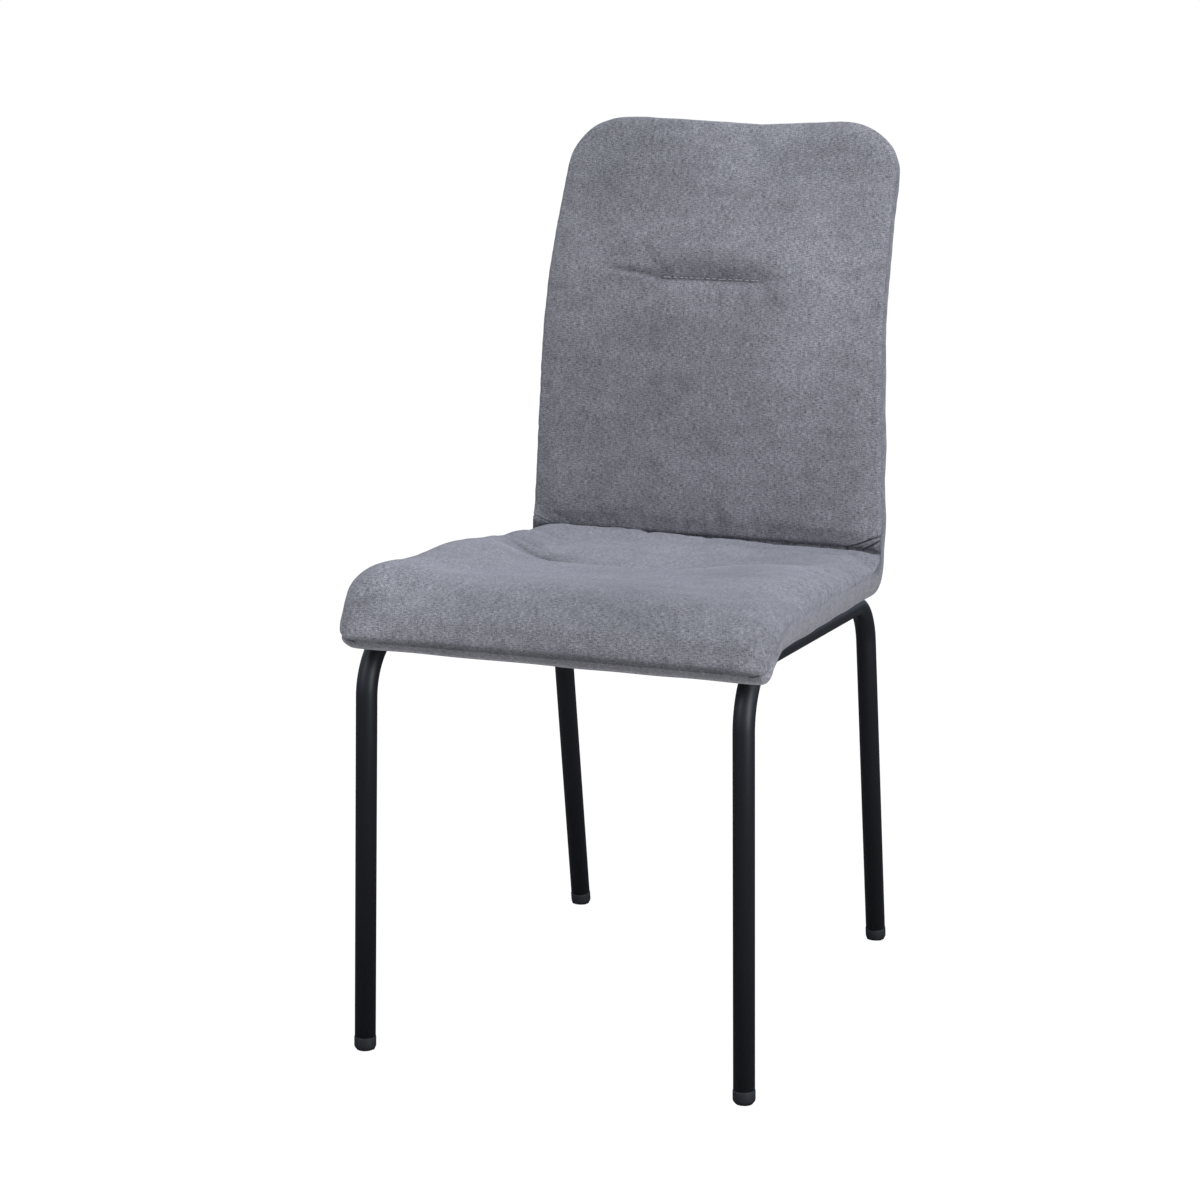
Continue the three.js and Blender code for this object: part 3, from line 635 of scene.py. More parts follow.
def new_object(name, points, faces, smooth=True):
    mesh = bpy.data.meshes.new(name)
    mesh.from_pydata(np.asarray(points).reshape(-1, 3).tolist(), [], np.asarray(faces).tolist())
    mesh.polygons.foreach_set("use_smooth", [smooth] * len(mesh.polygons))
    mesh.update()
    obj = bpy.data.objects.new(name, mesh)
    bpy.context.scene.collection.objects.link(obj)
    return obj


def put_cloth_place(obj, cloth, shade=None):
    """Stores where each point lies on the flat cloth, in metres, and its painted light and shade."""
    layer = obj.data.attributes.new("cloth_place", "FLOAT_VECTOR", "POINT")
    layer.data.foreach_set("vector", np.asarray(cloth, np.float32).reshape(-1))
    # the painted light and shade, kept on the points
    if shade is not None:
        layer = obj.data.attributes.new("painted_light_and_shade", "FLOAT", "POINT")
        layer.data.foreach_set("value", np.asarray(shade, np.float32).reshape(-1))


def finish_piece(obj, material):
    obj.data.materials.clear()
    obj.data.materials.append(material)
    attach(obj, "root")
    return obj


def read_points(obj):
    co = np.empty(len(obj.data.vertices) * 3)
    obj.data.vertices.foreach_get("co", co)
    return co.reshape(-1, 3)


# ------------------------------------------------------------------ rear and underside surfaces


def rear_base(rows, lane_count, side_steps):
    """The underside and rear: columns run from the left seam, under, to the right seam."""
    s = rows[:, None]
    width = outline_half_width(s)
    on_back = blend_step(s, RUN_START["bend"], RUN_START["lumbar"])
    depth = np.interp(on_back, [0, 1], UNDER_DEPTH)
    drop = depth + seam_height(s)
    drop = drop * opened(s, REAR_NOSE[0]) * opened(PROFILE_LENGTH - s, REAR_NOSE[1])
    inset = np.minimum(REAR_EDGE + REAR_EDGE_MORE_ON_BACK * on_back, drop)
    angle = np.linspace(0, math.pi / 2, side_steps)[None, :]
    side_x = width - inset * (1 - np.cos(angle) ** (2 / REAR_EDGE_POWER))
    side_d = drop * np.sin(angle) ** (2 / REAR_EDGE_POWER)
    flat = np.linspace(0, 1, lane_count)[None, 1:]
    flat_x = (width - inset) * (1 - flat)
    flat_d = drop + 0 * flat
    half_x = np.concatenate([side_x, flat_x], 1)
    half_d = np.concatenate([side_d, flat_d], 1)
    x = np.concatenate([-half_x, half_x[:, -2::-1]], 1)
    d = np.concatenate([half_d, half_d[:, -2::-1]], 1)
    step = np.hypot(np.diff(x, axis=1), np.diff(d, axis=1))
    arc = np.concatenate([np.zeros((len(rows), 1)), np.cumsum(step, 1)], 1)
    s_grid = np.repeat(s, x.shape[1], 1)
    points = upholstery_points(s_grid, x, seam_height(s) - d)
    to_side = np.minimum(arc, arc[:, -1:] - arc)
    middle = points[:, x.shape[1] // 2]
    along = np.concatenate([[0], np.cumsum(np.linalg.norm(np.diff(middle, axis=0), axis=1))])
    cloth = np.stack([arc - arc[:, -1:] / 2, along[:, None] + 0 * s_grid, 0 * s_grid], -1)
    return points, cloth, s_grid, to_side


# ------------------------------------------------------------------ cloth simulation


def inflate(rows, columns, settings):
    """How far each point of the coarse cover moves when its pads push it out, as a grid of vectors."""
    coarse_rows, coarse_columns = rows[::SUBSTEPS], columns[::SUBSTEPS]
    points, _, s, to_side = face_base(coarse_rows, coarse_columns)
    normals = grid_normals(points)
    slack = settings.cover_slack
    room = blend_step(to_side, 0.0, 0.05) * blend_step(s, 0.0, 0.05)
    room = room * blend_step(PROFILE_LENGTH - s, 0.0, 0.04)
    room = room * (0.25 + 0.75 * blend_step(np.abs(s - FAN_MIDDLE), 0.01, 0.06))
    start = points - normals * (slack * room + sink(s, points[..., 0]))[..., None]
    swell = seat_swell(s, points[..., 0]) * blend_step(to_side, 0.001, 0.020)
    start = start + normals * swell[..., None]
    face_count = start.shape[0] * start.shape[1]
    rear, _, _, _ = rear_base(coarse_rows, PRESSED_REAR_LANES, PRESSED_REAR_EDGE_STEPS)
    all_points = np.concatenate([start.reshape(-1, 3), rear.reshape(-1, 3)])
    faces = np.concatenate([
        grid_faces(*start.shape[:2]),
        grid_faces(*rear.shape[:2], flip=True) + face_count,
    ])
    pad = new_object("pressed_pad", all_points, faces)
    work = bmesh.new()
    work.from_mesh(pad.data)
    order = work.verts.layers.int.new("order")
    for vert in work.verts:
        vert[order] = vert.index
    bmesh.ops.remove_doubles(work, verts=work.verts, dist=1e-6)
    bmesh.ops.recalc_face_normals(work, faces=work.faces)
    work.to_mesh(pad.data)
    work.free()
    orders = np.empty(len(pad.data.vertices), np.int32)
    pad.data.attributes["order"].data.foreach_get("value", orders)

    held = (to_side < 0.004) | (s < 0.003) | (s > PROFILE_LENGTH - 0.002)
    held |= np.abs(s - FAN_MIDDLE) < 0.006
    for line in (line_across(*back_tuft_place()), SEAT_TUFT):
        held |= to_line(points[..., 0], s, line)[0] < 0.004
    held = np.concatenate([held.reshape(-1), np.ones(len(rear.reshape(-1, 3)), bool)])
    group = pad.vertex_groups.new(name="held")
    group.add([i for i, k in enumerate(orders) if held[k]], 1.0, "REPLACE")

    scene = bpy.context.scene
    cloth = pad.modifiers.new("cloth", "CLOTH")
    cloth.settings.effector_weights.gravity = 0
    cloth.settings.uniform_pressure_force = settings.pad_pressure
    for key, value in PAD_CLOTH.items():
        setattr(cloth.settings, key, value)
    cloth.collision_settings.use_collision = False
    cloth.point_cache.frame_start = 1
    cloth.point_cache.frame_end = PAD_FRAMES
    for number in range(1, PAD_FRAMES + 1):
        scene.frame_set(number)
    pressed = pad.evaluated_get(bpy.context.evaluated_depsgraph_get())
    moved = np.empty(len(orders) * 3)
    pressed.data.vertices.foreach_get("co", moved)
    moved = moved.reshape(-1, 3)
    scene.frame_set(1)
    end = all_points.copy()
    end[orders] = moved
    end = end[:face_count].reshape(start.shape)
    shift = end - start
    shift[held[:face_count].reshape(s.shape)] = 0
    length = np.linalg.norm(shift, axis=-1, keepdims=True)
    most = settings.pad_swell
    shift = shift * (most * np.tanh(length / most) / np.maximum(length, 1e-9))
    shift = shift * (0.1 + 0.9 * room)[..., None]
    bpy.data.objects.remove(pad)
    return (start + shift) - points


# ------------------------------------------------------------------ materials


def socket(tree, name, kind, direction, value=None, low=None, high=None):
    made = tree.interface.new_socket(name=name, in_out=direction, socket_type=kind)
    if value is not None:
        made.default_value = value
    if low is not None:
        made.min_value, made.max_value = low, high
    return made


class Nodes:
    """Short calls for building a node tree from left to right."""

    def __init__(self, tree):
        self.tree = tree

    def add(self, kind, inputs=None, **settings):
        node = self.tree.nodes.new(kind)
        for key, value in settings.items():
            setattr(node, key, value)
        for key, value in (inputs or {}).items():
            if isinstance(value, bpy.types.NodeSocket):
                self.tree.links.new(value, node.inputs[key])
            else:
                node.inputs[key].default_value = value
        return node

    def math(self, operation, a, b=0.0, c=0.0, clamp=False):
        node = self.add("ShaderNodeMath", {0: a, 1: b, 2: c}, operation=operation, use_clamp=clamp)
        return node.outputs[0]

    def vector(self, operation, a, b=(0, 0, 0)):
        return self.add("ShaderNodeVectorMath", {0: a, 1: b}, operation=operation).outputs[0]

    def grey(self, value):
        return self.add("ShaderNodeCombineXYZ", {0: value, 1: value, 2: value}).outputs[0]

    def noise(self, vector, scale, detail=2.0, roughness=0.5, distortion=0.0):
        inputs = {"Vector": vector, "Scale": scale, "Detail": detail, "Roughness": roughness,
                  "Distortion": distortion}
        return self.add("ShaderNodeTexNoise", inputs).outputs["Fac"]

    def spread(self, value, low, high, to_low=0.0, to_high=1.0):
        inputs = {"Value": value, "From Min": low, "From Max": high, "To Min": to_low,
                  "To Max": to_high}
        return self.add("ShaderNodeMapRange", inputs).outputs["Result"]

    def mix(self, share, a, b, blend="MIX"):
        node = self.add("ShaderNodeMix", data_type="RGBA", blend_type=blend)
        for key, value in (("Factor", share), ("A", a), ("B", b)):
            target = next(i for i in node.inputs if i.name == key and i.enabled)
            if isinstance(value, bpy.types.NodeSocket):
                self.tree.links.new(value, target)
            else:
                target.default_value = value
        return next(o for o in node.outputs if o.enabled)


def shared_group(name, inputs, outputs, build):
    """A shader node group, made once."""
    if name in bpy.data.node_groups:
        return bpy.data.node_groups[name]
    tree = bpy.data.node_groups.new(name, "ShaderNodeTree")
    for item in inputs:
        socket(tree, item[0], item[1], "INPUT", *item[2:])
    for item in outputs:
        socket(tree, item[0], item[1], "OUTPUT")
    nodes = Nodes(tree)
    results = build(nodes, nodes.add("NodeGroupInput").outputs)
    out = nodes.add("NodeGroupOutput")
    for key, value in results.items():
        tree.links.new(value, out.inputs[key])
    return tree


def woven_cloth_group():
    """Heathered plain weave: warp and weft threads, flecks along them, and brushed nap."""

    def build(n, given):
        split = n.add("ShaderNodeSeparateXYZ", {0: given["Place"]}).outputs
        place = n.add("ShaderNodeCombineXYZ", {0: split[0], 1: split[1]}).outputs[0]
        weft_fleck = n.noise(n.vector("MULTIPLY", place, (220, 1100, 1)), 1.0, 2.0, 0.6)
        warp_fleck = n.noise(n.vector("MULTIPLY", place, (1050, 190, 1)), 1.0, 2.0, 0.6)
        fuzz = n.noise(n.vector("MULTIPLY", place, (760, 760, 1)), 1.0, 2.0, 0.6)
        weft_part = n.math("MULTIPLY", weft_fleck, 1.45)
        warp_part = n.math("MULTIPLY", warp_fleck, 0.75)
        fleck = n.math("ADD", weft_part, warp_part)
        streak = n.noise(n.vector("MULTIPLY", place, (430, 46, 1)), 1.0, 2.0, 0.6)
        fleck = n.math("ADD", fleck, n.math("MULTIPLY", fuzz, 0.45))
        fleck = n.math("ADD", fleck, n.math("MULTIPLY", streak, 0.30))
        fleck = n.spread(fleck, 1.15, 1.80)
        wander = n.noise(place, 60.0, 2.0)
        bent = n.add("ShaderNodeCombineXYZ", {0: n.math("MULTIPLY", wander, 0.0016),
                                              1: n.math("MULTIPLY", wander, 0.0012)}).outputs[0]
        moved = n.add("ShaderNodeSeparateXYZ", {0: n.vector("ADD", place, bent)}).outputs
        turn = math.pi / YARN_PITCH
        warp = n.math("SINE", n.math("MULTIPLY", moved[0], turn))
        weft = n.math("SINE", n.math("MULTIPLY", moved[1], turn))
        thread = n.spread(n.math("MULTIPLY", warp, weft), -1.0, 1.0)
        nap_wide = n.noise(n.vector("MULTIPLY", place, (13, 26, 1)), 1.0, 4.0, 0.6, 0.4)
        nap_fine = n.noise(n.vector("MULTIPLY", place, (60, 80, 1)), 1.0, 3.0, 0.6, 0.3)
        nap = n.math("ADD", n.math("MULTIPLY", nap_wide, 0.5), n.math("MULTIPLY", nap_fine, 0.5))
        nap = n.spread(nap, 0.34, 0.66)
        colour = n.mix(fleck, given["Dark"], given["Light"])
        shade = n.math("ADD", 1.0, n.math("MULTIPLY", given["Nap"], n.math("SUBTRACT", nap, 0.5)))
        shade = n.math("MULTIPLY", shade, n.spread(thread, 0, 1, 0.90, 1.08))
        # the nap's and threads' own tone, then the painted light and shade from its input
        for brightness in (shade, n.math("ADD", 1.0, given["Pile Shade"])):
            colour = n.mix(1.0, colour, n.grey(brightness), "MULTIPLY")
        warm = n.mix(split[2], (1, 1, 1, 1), given["Under Tint"])
        colour = n.mix(1.0, colour, warm, "MULTIPLY")
        height = n.math("ADD", n.math("MULTIPLY", thread, 0.45), n.math("MULTIPLY", fleck, 0.55))
        rough = n.spread(fleck, 0, 1, 0.82, 0.96)
        return {"Colour": colour, "Height": height, "Roughness": rough}

    inputs = [
        ("Place", "NodeSocketVector"),
        ("Dark", "NodeSocketColor", (0.13, 0.13, 0.15, 1)),
        ("Light", "NodeSocketColor", (0.34, 0.34, 0.38, 1)),
        ("Under Tint", "NodeSocketColor", (1.0, 0.975, 0.91, 1)),
        ("Nap", "NodeSocketFloat", 0.3, 0.0, 2.0),
        ("Pile Shade", "NodeSocketFloat", 0.0, -1.0, 1.0),
    ]
    outputs = [("Colour", "NodeSocketColor"), ("Height", "NodeSocketFloat"),
               ("Roughness", "NodeSocketFloat")]
    return shared_group("woven_cloth", inputs, outputs, build)


def wear_group():
    """Fine unevenness, faint scuffs and dust for hard finishes."""

    def build(n, given):
        body = given["Body"]
        peel = n.noise(body, 900.0, 2.0, 0.5)
        cloud = n.noise(body, 22.0, 4.0, 0.6)
        scuff = n.noise(n.vector("MULTIPLY", body, (260, 260, 34)), 1.0, 4.0, 0.7, 0.4)
        scuff = n.spread(scuff, 0.63, 0.74)
        mask = n.spread(n.noise(body, 9.0, 2.0), 0.52, 0.66)
        scuff = n.math("MULTIPLY", n.math("MULTIPLY", scuff, mask), given["Scuffs"], clamp=True)
        tint = n.mix(scuff, given["Colour"], given["Worn"])
        tint = n.mix(n.spread(cloud, 0.35, 0.7, 0.0, 0.25), tint, given["Colour"])
        uneven = n.math("MULTIPLY", n.math("SUBTRACT", cloud, 0.5), 0.16)
        rough = n.math("ADD", given["Roughness"], uneven)
        rough = n.math("ADD", rough, n.math("MULTIPLY", scuff, 0.18), clamp=True)
        return {"Colour": tint, "Height": peel, "Roughness": rough}

    inputs = [
        ("Body", "NodeSocketVector"),
        ("Colour", "NodeSocketColor", (0.01, 0.011, 0.013, 1)),
        ("Worn", "NodeSocketColor", (0.06, 0.06, 0.065, 1)),
        ("Roughness", "NodeSocketFloat", 0.4, 0.0, 1.0),
        ("Scuffs", "NodeSocketFloat", 0.5, 0.0, 1.0),
    ]
    outputs = [("Colour", "NodeSocketColor"), ("Height", "NodeSocketFloat"),
               ("Roughness", "NodeSocketFloat")]
    return shared_group("worn_surface", inputs, outputs, build)


def new_material(name):
    material = bpy.data.materials.new(name)
    material.use_nodes = True
    tree = material.node_tree
    tree.nodes.clear()
    nodes = Nodes(tree)
    shader = nodes.add("ShaderNodeBsdfPrincipled")
    out = nodes.add("ShaderNodeOutputMaterial")
    tree.links.new(shader.outputs[0], out.inputs["Surface"])
    return material, nodes, shader


def use_group(nodes, shader, group, inputs, bump_strength, bump_distance):
    placed = nodes.add("ShaderNodeGroup", node_tree=group)
    for key, value in inputs.items():
        if isinstance(value, bpy.types.NodeSocket):
            nodes.tree.links.new(value, placed.inputs[key])
        else:
            placed.inputs[key].default_value = value
    link = nodes.tree.links.new
    link(placed.outputs["Colour"], shader.inputs["Base Color"])
    link(placed.outputs["Roughness"], shader.inputs["Roughness"])
    bump = nodes.add("ShaderNodeBump", {"Strength": bump_strength, "Distance": bump_distance,
                                        "Height": placed.outputs["Height"]})
    link(bump.outputs[0], shader.inputs["Normal"])
    return placed


def cloth_material(name, dark, light, nap):
    material, nodes, shader = new_material(name)
    place = nodes.add("ShaderNodeAttribute", attribute_name="cloth_place").outputs["Vector"]
    # painted light and shade, read from the points
    painted_light_value = nodes.add("ShaderNodeAttribute", attribute_name="painted_light_and_shade").outputs["Fac"]
    inputs = {"Place": place, "Dark": (*dark, 1), "Light": (*light, 1), "Nap": nap, "Pile Shade": painted_light_value}
    use_group(nodes, shader, woven_cloth_group(), inputs, 0.45, 0.0010)
    shader.inputs["Sheen Weight"].default_value = 0.26
    shader.inputs["Sheen Roughness"].default_value = 0.4
    shader.inputs["Sheen Tint"].default_value = (0.80, 0.84, 1.0, 1)
    shader.inputs["Specular IOR Level"].default_value = 0.12
    return material


def hard_material(name, colour, worn, roughness, scuffs, metallic=0.0, bump=0.08):
    material, nodes, shader = new_material(name)
    body = nodes.add("ShaderNodeTexCoord").outputs["Object"]
    inputs = {"Body": body, "Colour": (*colour, 1), "Worn": (*worn, 1), "Roughness": roughness,
              "Scuffs": scuffs}
    use_group(nodes, shader, wear_group(), inputs, bump, 0.0004)
    shader.inputs["Metallic"].default_value = metallic
    return material


def plywood_material():
    material, nodes, shader = new_material("moulded_plywood")
    body = nodes.add("ShaderNodeTexCoord").outputs["Object"]
    stretched = nodes.vector("MULTIPLY", body, (160, 12, 12))
    grain = nodes.noise(stretched, 1.0, 5.0, 0.6, 0.5)
    colour = nodes.mix(nodes.spread(grain, 0.3, 0.7), (0.50, 0.33, 0.16, 1), (0.66, 0.47, 0.26, 1))
    nodes.tree.links.new(colour, shader.inputs["Base Color"])
    rough = nodes.spread(grain, 0.3, 0.7, 0.62, 0.8)
    nodes.tree.links.new(rough, shader.inputs["Roughness"])
    return material


def material(name):
    """A named finish, made the first time it is asked for."""
    if name in bpy.data.materials:
        return bpy.data.materials[name]
    look = bpy.context.scene.chair_finishes
    makers = {
        "grey_weave": lambda: cloth_material("grey_weave", look.weave_dark, look.weave_light, 0.34),
        "lining_weave": lambda: cloth_material(
            "lining_weave", look.lining_dark, look.lining_light, 0.2),
        "thread": lambda: cloth_material("thread", look.thread, look.thread, 0.1),
        "black_paint": lambda: hard_material(
            "black_paint", look.paint, worn=(0.035, 0.037, 0.042), roughness=0.26, scuffs=0.35),
        "black_plastic": lambda: hard_material(
            "black_plastic", look.plastic, worn=(0.04, 0.04, 0.04), roughness=0.55, scuffs=0.4),
        "zinc_steel": lambda: hard_material(
            "zinc_steel", (0.5, 0.51, 0.53), worn=(0.3, 0.3, 0.3), roughness=0.3, scuffs=0.6,
            metallic=1.0),
        "moulded_plywood": plywood_material,
    }
    return makers[name]()


# ------------------------------------------------------------------ property groups

FLOAT = bpy.props.FloatProperty
COLOUR = bpy.props.FloatVectorProperty


class ChairUpholstery(bpy.types.PropertyGroup):
    pad_swell: FLOAT(name="Pad swell", description="Most that the pads push the cover out",
                     default=0.0035, min=0.0, max=0.02, unit="LENGTH")
    pad_pressure: FLOAT(name="Pad pressure", description="Pressure of the pads under the cover",
                        default=4.0, min=0.0, max=20.0)
    cover_slack: FLOAT(name="Cover slack", description="How far the cover starts inside its full shape",
                       default=0.003, min=0.0, max=0.015, unit="LENGTH")
    stitch_pitch: FLOAT(name="Stitch pitch", description="Distance from one stitch to the next",
                        default=0.0064, min=0.002, max=0.02, unit="LENGTH")


class ChairFinishes(bpy.types.PropertyGroup):
    weave_dark: COLOUR(name="Weave, dark yarn", description="Colour of the cover's darker yarn",
                       default=(0.073, 0.074, 0.086), min=0, max=1, subtype="COLOR")
    weave_light: COLOUR(name="Weave, light yarn", description="Colour of the cover's lighter yarn",
                        default=(0.284, 0.286, 0.322), min=0, max=1, subtype="COLOR")
    lining_dark: COLOUR(name="Lining, dark yarn", description="Colour of the underside's darker yarn",
                        default=(0.088, 0.089, 0.105), min=0, max=1, subtype="COLOR")
    lining_light: COLOUR(name="Lining, light yarn", description="Colour of the underside's lighter yarn",
                         default=(0.285, 0.287, 0.330), min=0, max=1, subtype="COLOR")
    thread: COLOUR(name="Thread", description="Colour of the sewing thread",
                   default=(0.30, 0.31, 0.355), min=0, max=1, subtype="COLOR")
    paint: COLOUR(name="Paint", description="Colour of the leg frame's powder coat",
                  default=(0.0060, 0.0066, 0.0085), min=0, max=1, subtype="COLOR")
    plastic: COLOUR(name="Foot plastic", description="Colour of the feet",
                    default=(0.0065, 0.0065, 0.0070), min=0, max=1, subtype="COLOR")


class ChairStage(bpy.types.PropertyGroup):
    camera_height: FLOAT(name="Camera height", description="Height of the camera above the floor",
                         default=1.1284, unit="LENGTH")
    camera_aside: FLOAT(name="Camera aside", description="Distance of the camera to the chair's right",
                        default=1.1245, unit="LENGTH")
    camera_ahead: FLOAT(name="Camera ahead",
                        description="Distance of the camera ahead of the legs' middle",
                        default=2.9862, unit="LENGTH")
    camera_turn: FLOAT(name="Camera turn",
                       description="How far the camera is turned to the chair's left",
                       default=math.radians(21.509), subtype="ANGLE")
    camera_tilt: FLOAT(name="Camera tilt", description="How far the camera looks down",
                       default=math.radians(12.191), subtype="ANGLE")
    camera_lens: FLOAT(name="Camera lens", description="Focal length of the camera, in millimetres",
                       default=91.86, min=10.0, max=300.0)


# ------------------------------------------------------------------ operators: upholstery

COVER = {}  # the finished cover's grids, for the stitching


class CHAIR_OT_cushion(bpy.types.Operator):
    """Sew the padded cover over the seat and the front of the back"""

    bl_idname = "chair.cushion"
    bl_label = "Seat and back cushion"

    def execute(self, context):
        settings = context.scene.chair_upholstery
        rows, columns = face_rows(), face_columns()
        base, cloth, s, to_side = face_base(rows, columns)
        points = base + refine(inflate(rows, columns, settings), SUBSTEPS)
        normals = grid_normals(points)
        along = cloth[..., 1]
        to_end = np.minimum(along, along[-1:] - along)
        to_edge = soft_least(to_side, to_end, 0.004)
        x = points[..., 0]
        relief = sewing_depth(s, x, to_side, to_edge, along)
        moved = np.sum((points - base) * normals, -1)
        room = np.maximum(face_height(s) - FIRM_BELOW, LEAST_ROOM)
        room = room + CREASE_ROOM * hump(s, FAN_MIDDLE, CREASE_ROOM_REACH)
        relief = kept_clear(moved + relief, room) - moved
        edge = (to_side < 1e-6) | (s < 1e-9) | (s > PROFILE_LENGTH - 1e-9)
        relief = np.where(edge, -SEAM_TUCK * seam_tightness(s), relief)
        points = points + normals * relief[..., None]
        cushion = new_object("padded_cover", points, grid_faces(*points.shape[:2]))
        put_cloth_place(cushion, cloth, painted_light_and_shade(s, x, to_side, to_edge, along))
        finish_piece(cushion, material("grey_weave"))
        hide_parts("face_cover", "seat_foam", "back_foam")
        COVER.update(points=points, normals=grid_normals(points), s=s, x=x, rows=rows)
        return {"FINISHED"}


class CHAIR_OT_rear_cover(bpy.types.Operator):
    """Sew the rear cover and the panel under the seat"""

    bl_idname = "chair.rear_cover"
    bl_label = "Rear cover and underside"

    def execute(self, context):
        split = RUN_START["bend"] - UNDERSIDE_END
        rows = face_rows()
        pieces = [
            ("underside_lining", rows[rows < split], "lining_weave", "lining_fabric",
             ["underside_panel"]),
            ("rear_padding", rows[rows > split], "grey_weave", "upholstery_fabric",
             ["rear_cover", "rear_foam"]),
        ]
        for name, part_rows, finish, slot, nodes in pieces:
            part_rows = np.unique(np.append(part_rows, split))
            points, cloth, s, to_side = rear_base(part_rows, REAR_LANES, REAR_EDGE_STEPS)
            normals = -grid_normals(points)
            x = points[..., 0]
            end = np.minimum(s, PROFILE_LENGTH - s)
            tight = seam_tightness(s)
            relief = -0.0016 * tight * cusp(soft_least(to_side, end, 0.003), 0.0016)
            relief += 0.0008 * tight * hump(to_side, 0.0060, 0.0035)
            underneath = blend_step(to_side, 0.030, 0.045)
            relief -= 0.0016 * cusp(s - split, 0.0016) * underneath
            relief += 0.0010 * hump(np.abs(s - split), 0.006, 0.004) * underneath
            room = blend_step(to_side, 0.03, 0.09)
            on_back = blend_step(s, RUN_START["lumbar"], FAN_END + 0.05)
            on_back = on_back * blend_step(PROFILE_LENGTH - s, 0.01, 0.06)
            relief += 0.0030 * room * on_back
            uneven = ripple(x, s, 21, 0.09) * blend_step(to_side, 0.0, 0.02)
            relief += (0.0005 + 0.0004 * on_back) * uneven
            pucker = np.sin(s * 2 * math.pi / 0.024 + 2 * ripple(s, x, 22, 0.1))
            relief += 0.0002 * pucker * hump(to_side, 0.008, 0.012)
            edge = (to_side < 1e-6) | (end < 1e-9)
            relief = np.where(edge, -SEAM_TUCK * tight, relief)
            points = points + normals * relief[..., None]
            under = 1 - blend_step(s, RUN_START["bend"] - 0.02, FAN_END)
            cloth[..., 2] = under * blend_step(np.minimum(to_side, end + 0.004), 0.0, 0.008)
            # painted light on the band under the front seam, painted shade along the seams, the bend and
            # the split
            shade = 0.22 * hump(s, 0.006, 0.014) - 0.50 * hump(s, 0.0002, 0.0010)
            shade = shade - 0.40 * hump(to_side, 0, 0.0024) * seam_at_bend(s)
            shade = shade - 0.30 * hump(s - split, 0, 0.0020) * underneath
            shade = shade - 0.16 * hump(to_side, 0, 0.0018) * tight
            piece = new_object(name, points, grid_faces(*points.shape[:2], flip=True))
            put_cloth_place(piece, cloth, shade)
            finish_piece(piece, material(finish))
            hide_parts(*nodes)
        return {"FINISHED"}


def stitch_ends(line, pitch):
    """Where the stitches along a polyline start and end."""
    line = np.asarray(line, float)
    reach = np.concatenate([[0], np.cumsum(np.linalg.norm(np.diff(line, axis=0), axis=1))])
    count = int(reach[-1] / pitch)
    ends = []
    for k in range(count):
        places = [(k + 0.14) * pitch, (k + 0.86) * pitch]
        ends.append([tuple(np.interp(p, reach, line[:, axis]) for axis in (0, 1)) for p in places])
    return ends


def cover_point(x, s):
    """The point and normal of the finished cover nearest to a place across and along the profile."""
    row = int(np.argmin(np.abs(COVER["rows"] - s)))
    column = int(np.argmin(np.abs(COVER["x"][row] - x)))
    return Vector(COVER["points"][row, column]), Vector(COVER["normals"][row, column])


def add_stitch(work, start, end, normal, radius):
    """A stitch: a short thread that dives into the cloth at both ends."""
    along = end - start
    length = along.length
    along.normalize()
    side = along.cross(normal).normalized()
    rings = []
    for k in range(STITCH_STEPS + 1):
        t = k / STITCH_STEPS
        lift = radius * (1.3 * math.sin(math.pi * t) - 0.6)
        centre = start + along * (length * t) + normal * lift
        wide = radius * (0.55 + 0.45 * math.sin(math.pi * t))
        ring = []
        for j in range(STITCH_SIDES):
            angle = 2 * math.pi * j / STITCH_SIDES
            out = side * (wide * math.cos(angle))
            ring.append(work.verts.new(centre + out + normal * (wide * math.sin(angle))))
        rings.append(ring)
    for a, b in zip(rings, rings[1:]):
        for j in range(STITCH_SIDES):
            onward = (j + 1) % STITCH_SIDES
            work.faces.new((a[j], a[onward], b[onward], b[j]))
    work.faces.new(rings[0][::-1])
    work.faces.new(rings[-1])


def object_from_bmesh(name, work):
    bmesh.ops.recalc_face_normals(work, faces=work.faces)
    mesh = bpy.data.meshes.new(name)
    work.to_mesh(mesh)
    work.free()
    mesh.polygons.foreach_set("use_smooth", [True] * len(mesh.polygons))
    obj = bpy.data.objects.new(name, mesh)
    bpy.context.scene.collection.objects.link(obj)
    return obj


class CHAIR_OT_stitching(bpy.types.Operator):
    """Sew the stitches of the back's tuft and the seat's tuft"""

    bl_idname = "chair.stitching"
    bl_label = "Stitching"

    def execute(self, context):
        if not COVER:
            raise RuntimeError("sew the cushion before its stitching")
        pitch = context.scene.chair_upholstery.stitch_pitch
        for name, line in (("back_tuft", line_across(*back_tuft_place())), ("seat_tuft", SEAT_TUFT)):
            work = bmesh.new()
            for start, end in stitch_ends(line, pitch):
                (point_a, normal), (point_b, _) = cover_point(*start), cover_point(*end)
                lift = normal * STITCH_LIFT
                add_stitch(work, point_a + lift, point_b + lift, normal, STITCH_RADIUS)
            stitches = object_from_bmesh(f"{name}_stitches", work)
            put_cloth_place(stitches, read_points(stitches))
            finish_piece(stitches, material("thread"))
        return {"FINISHED"}


# ------------------------------------------------------------------ operators: leg frame


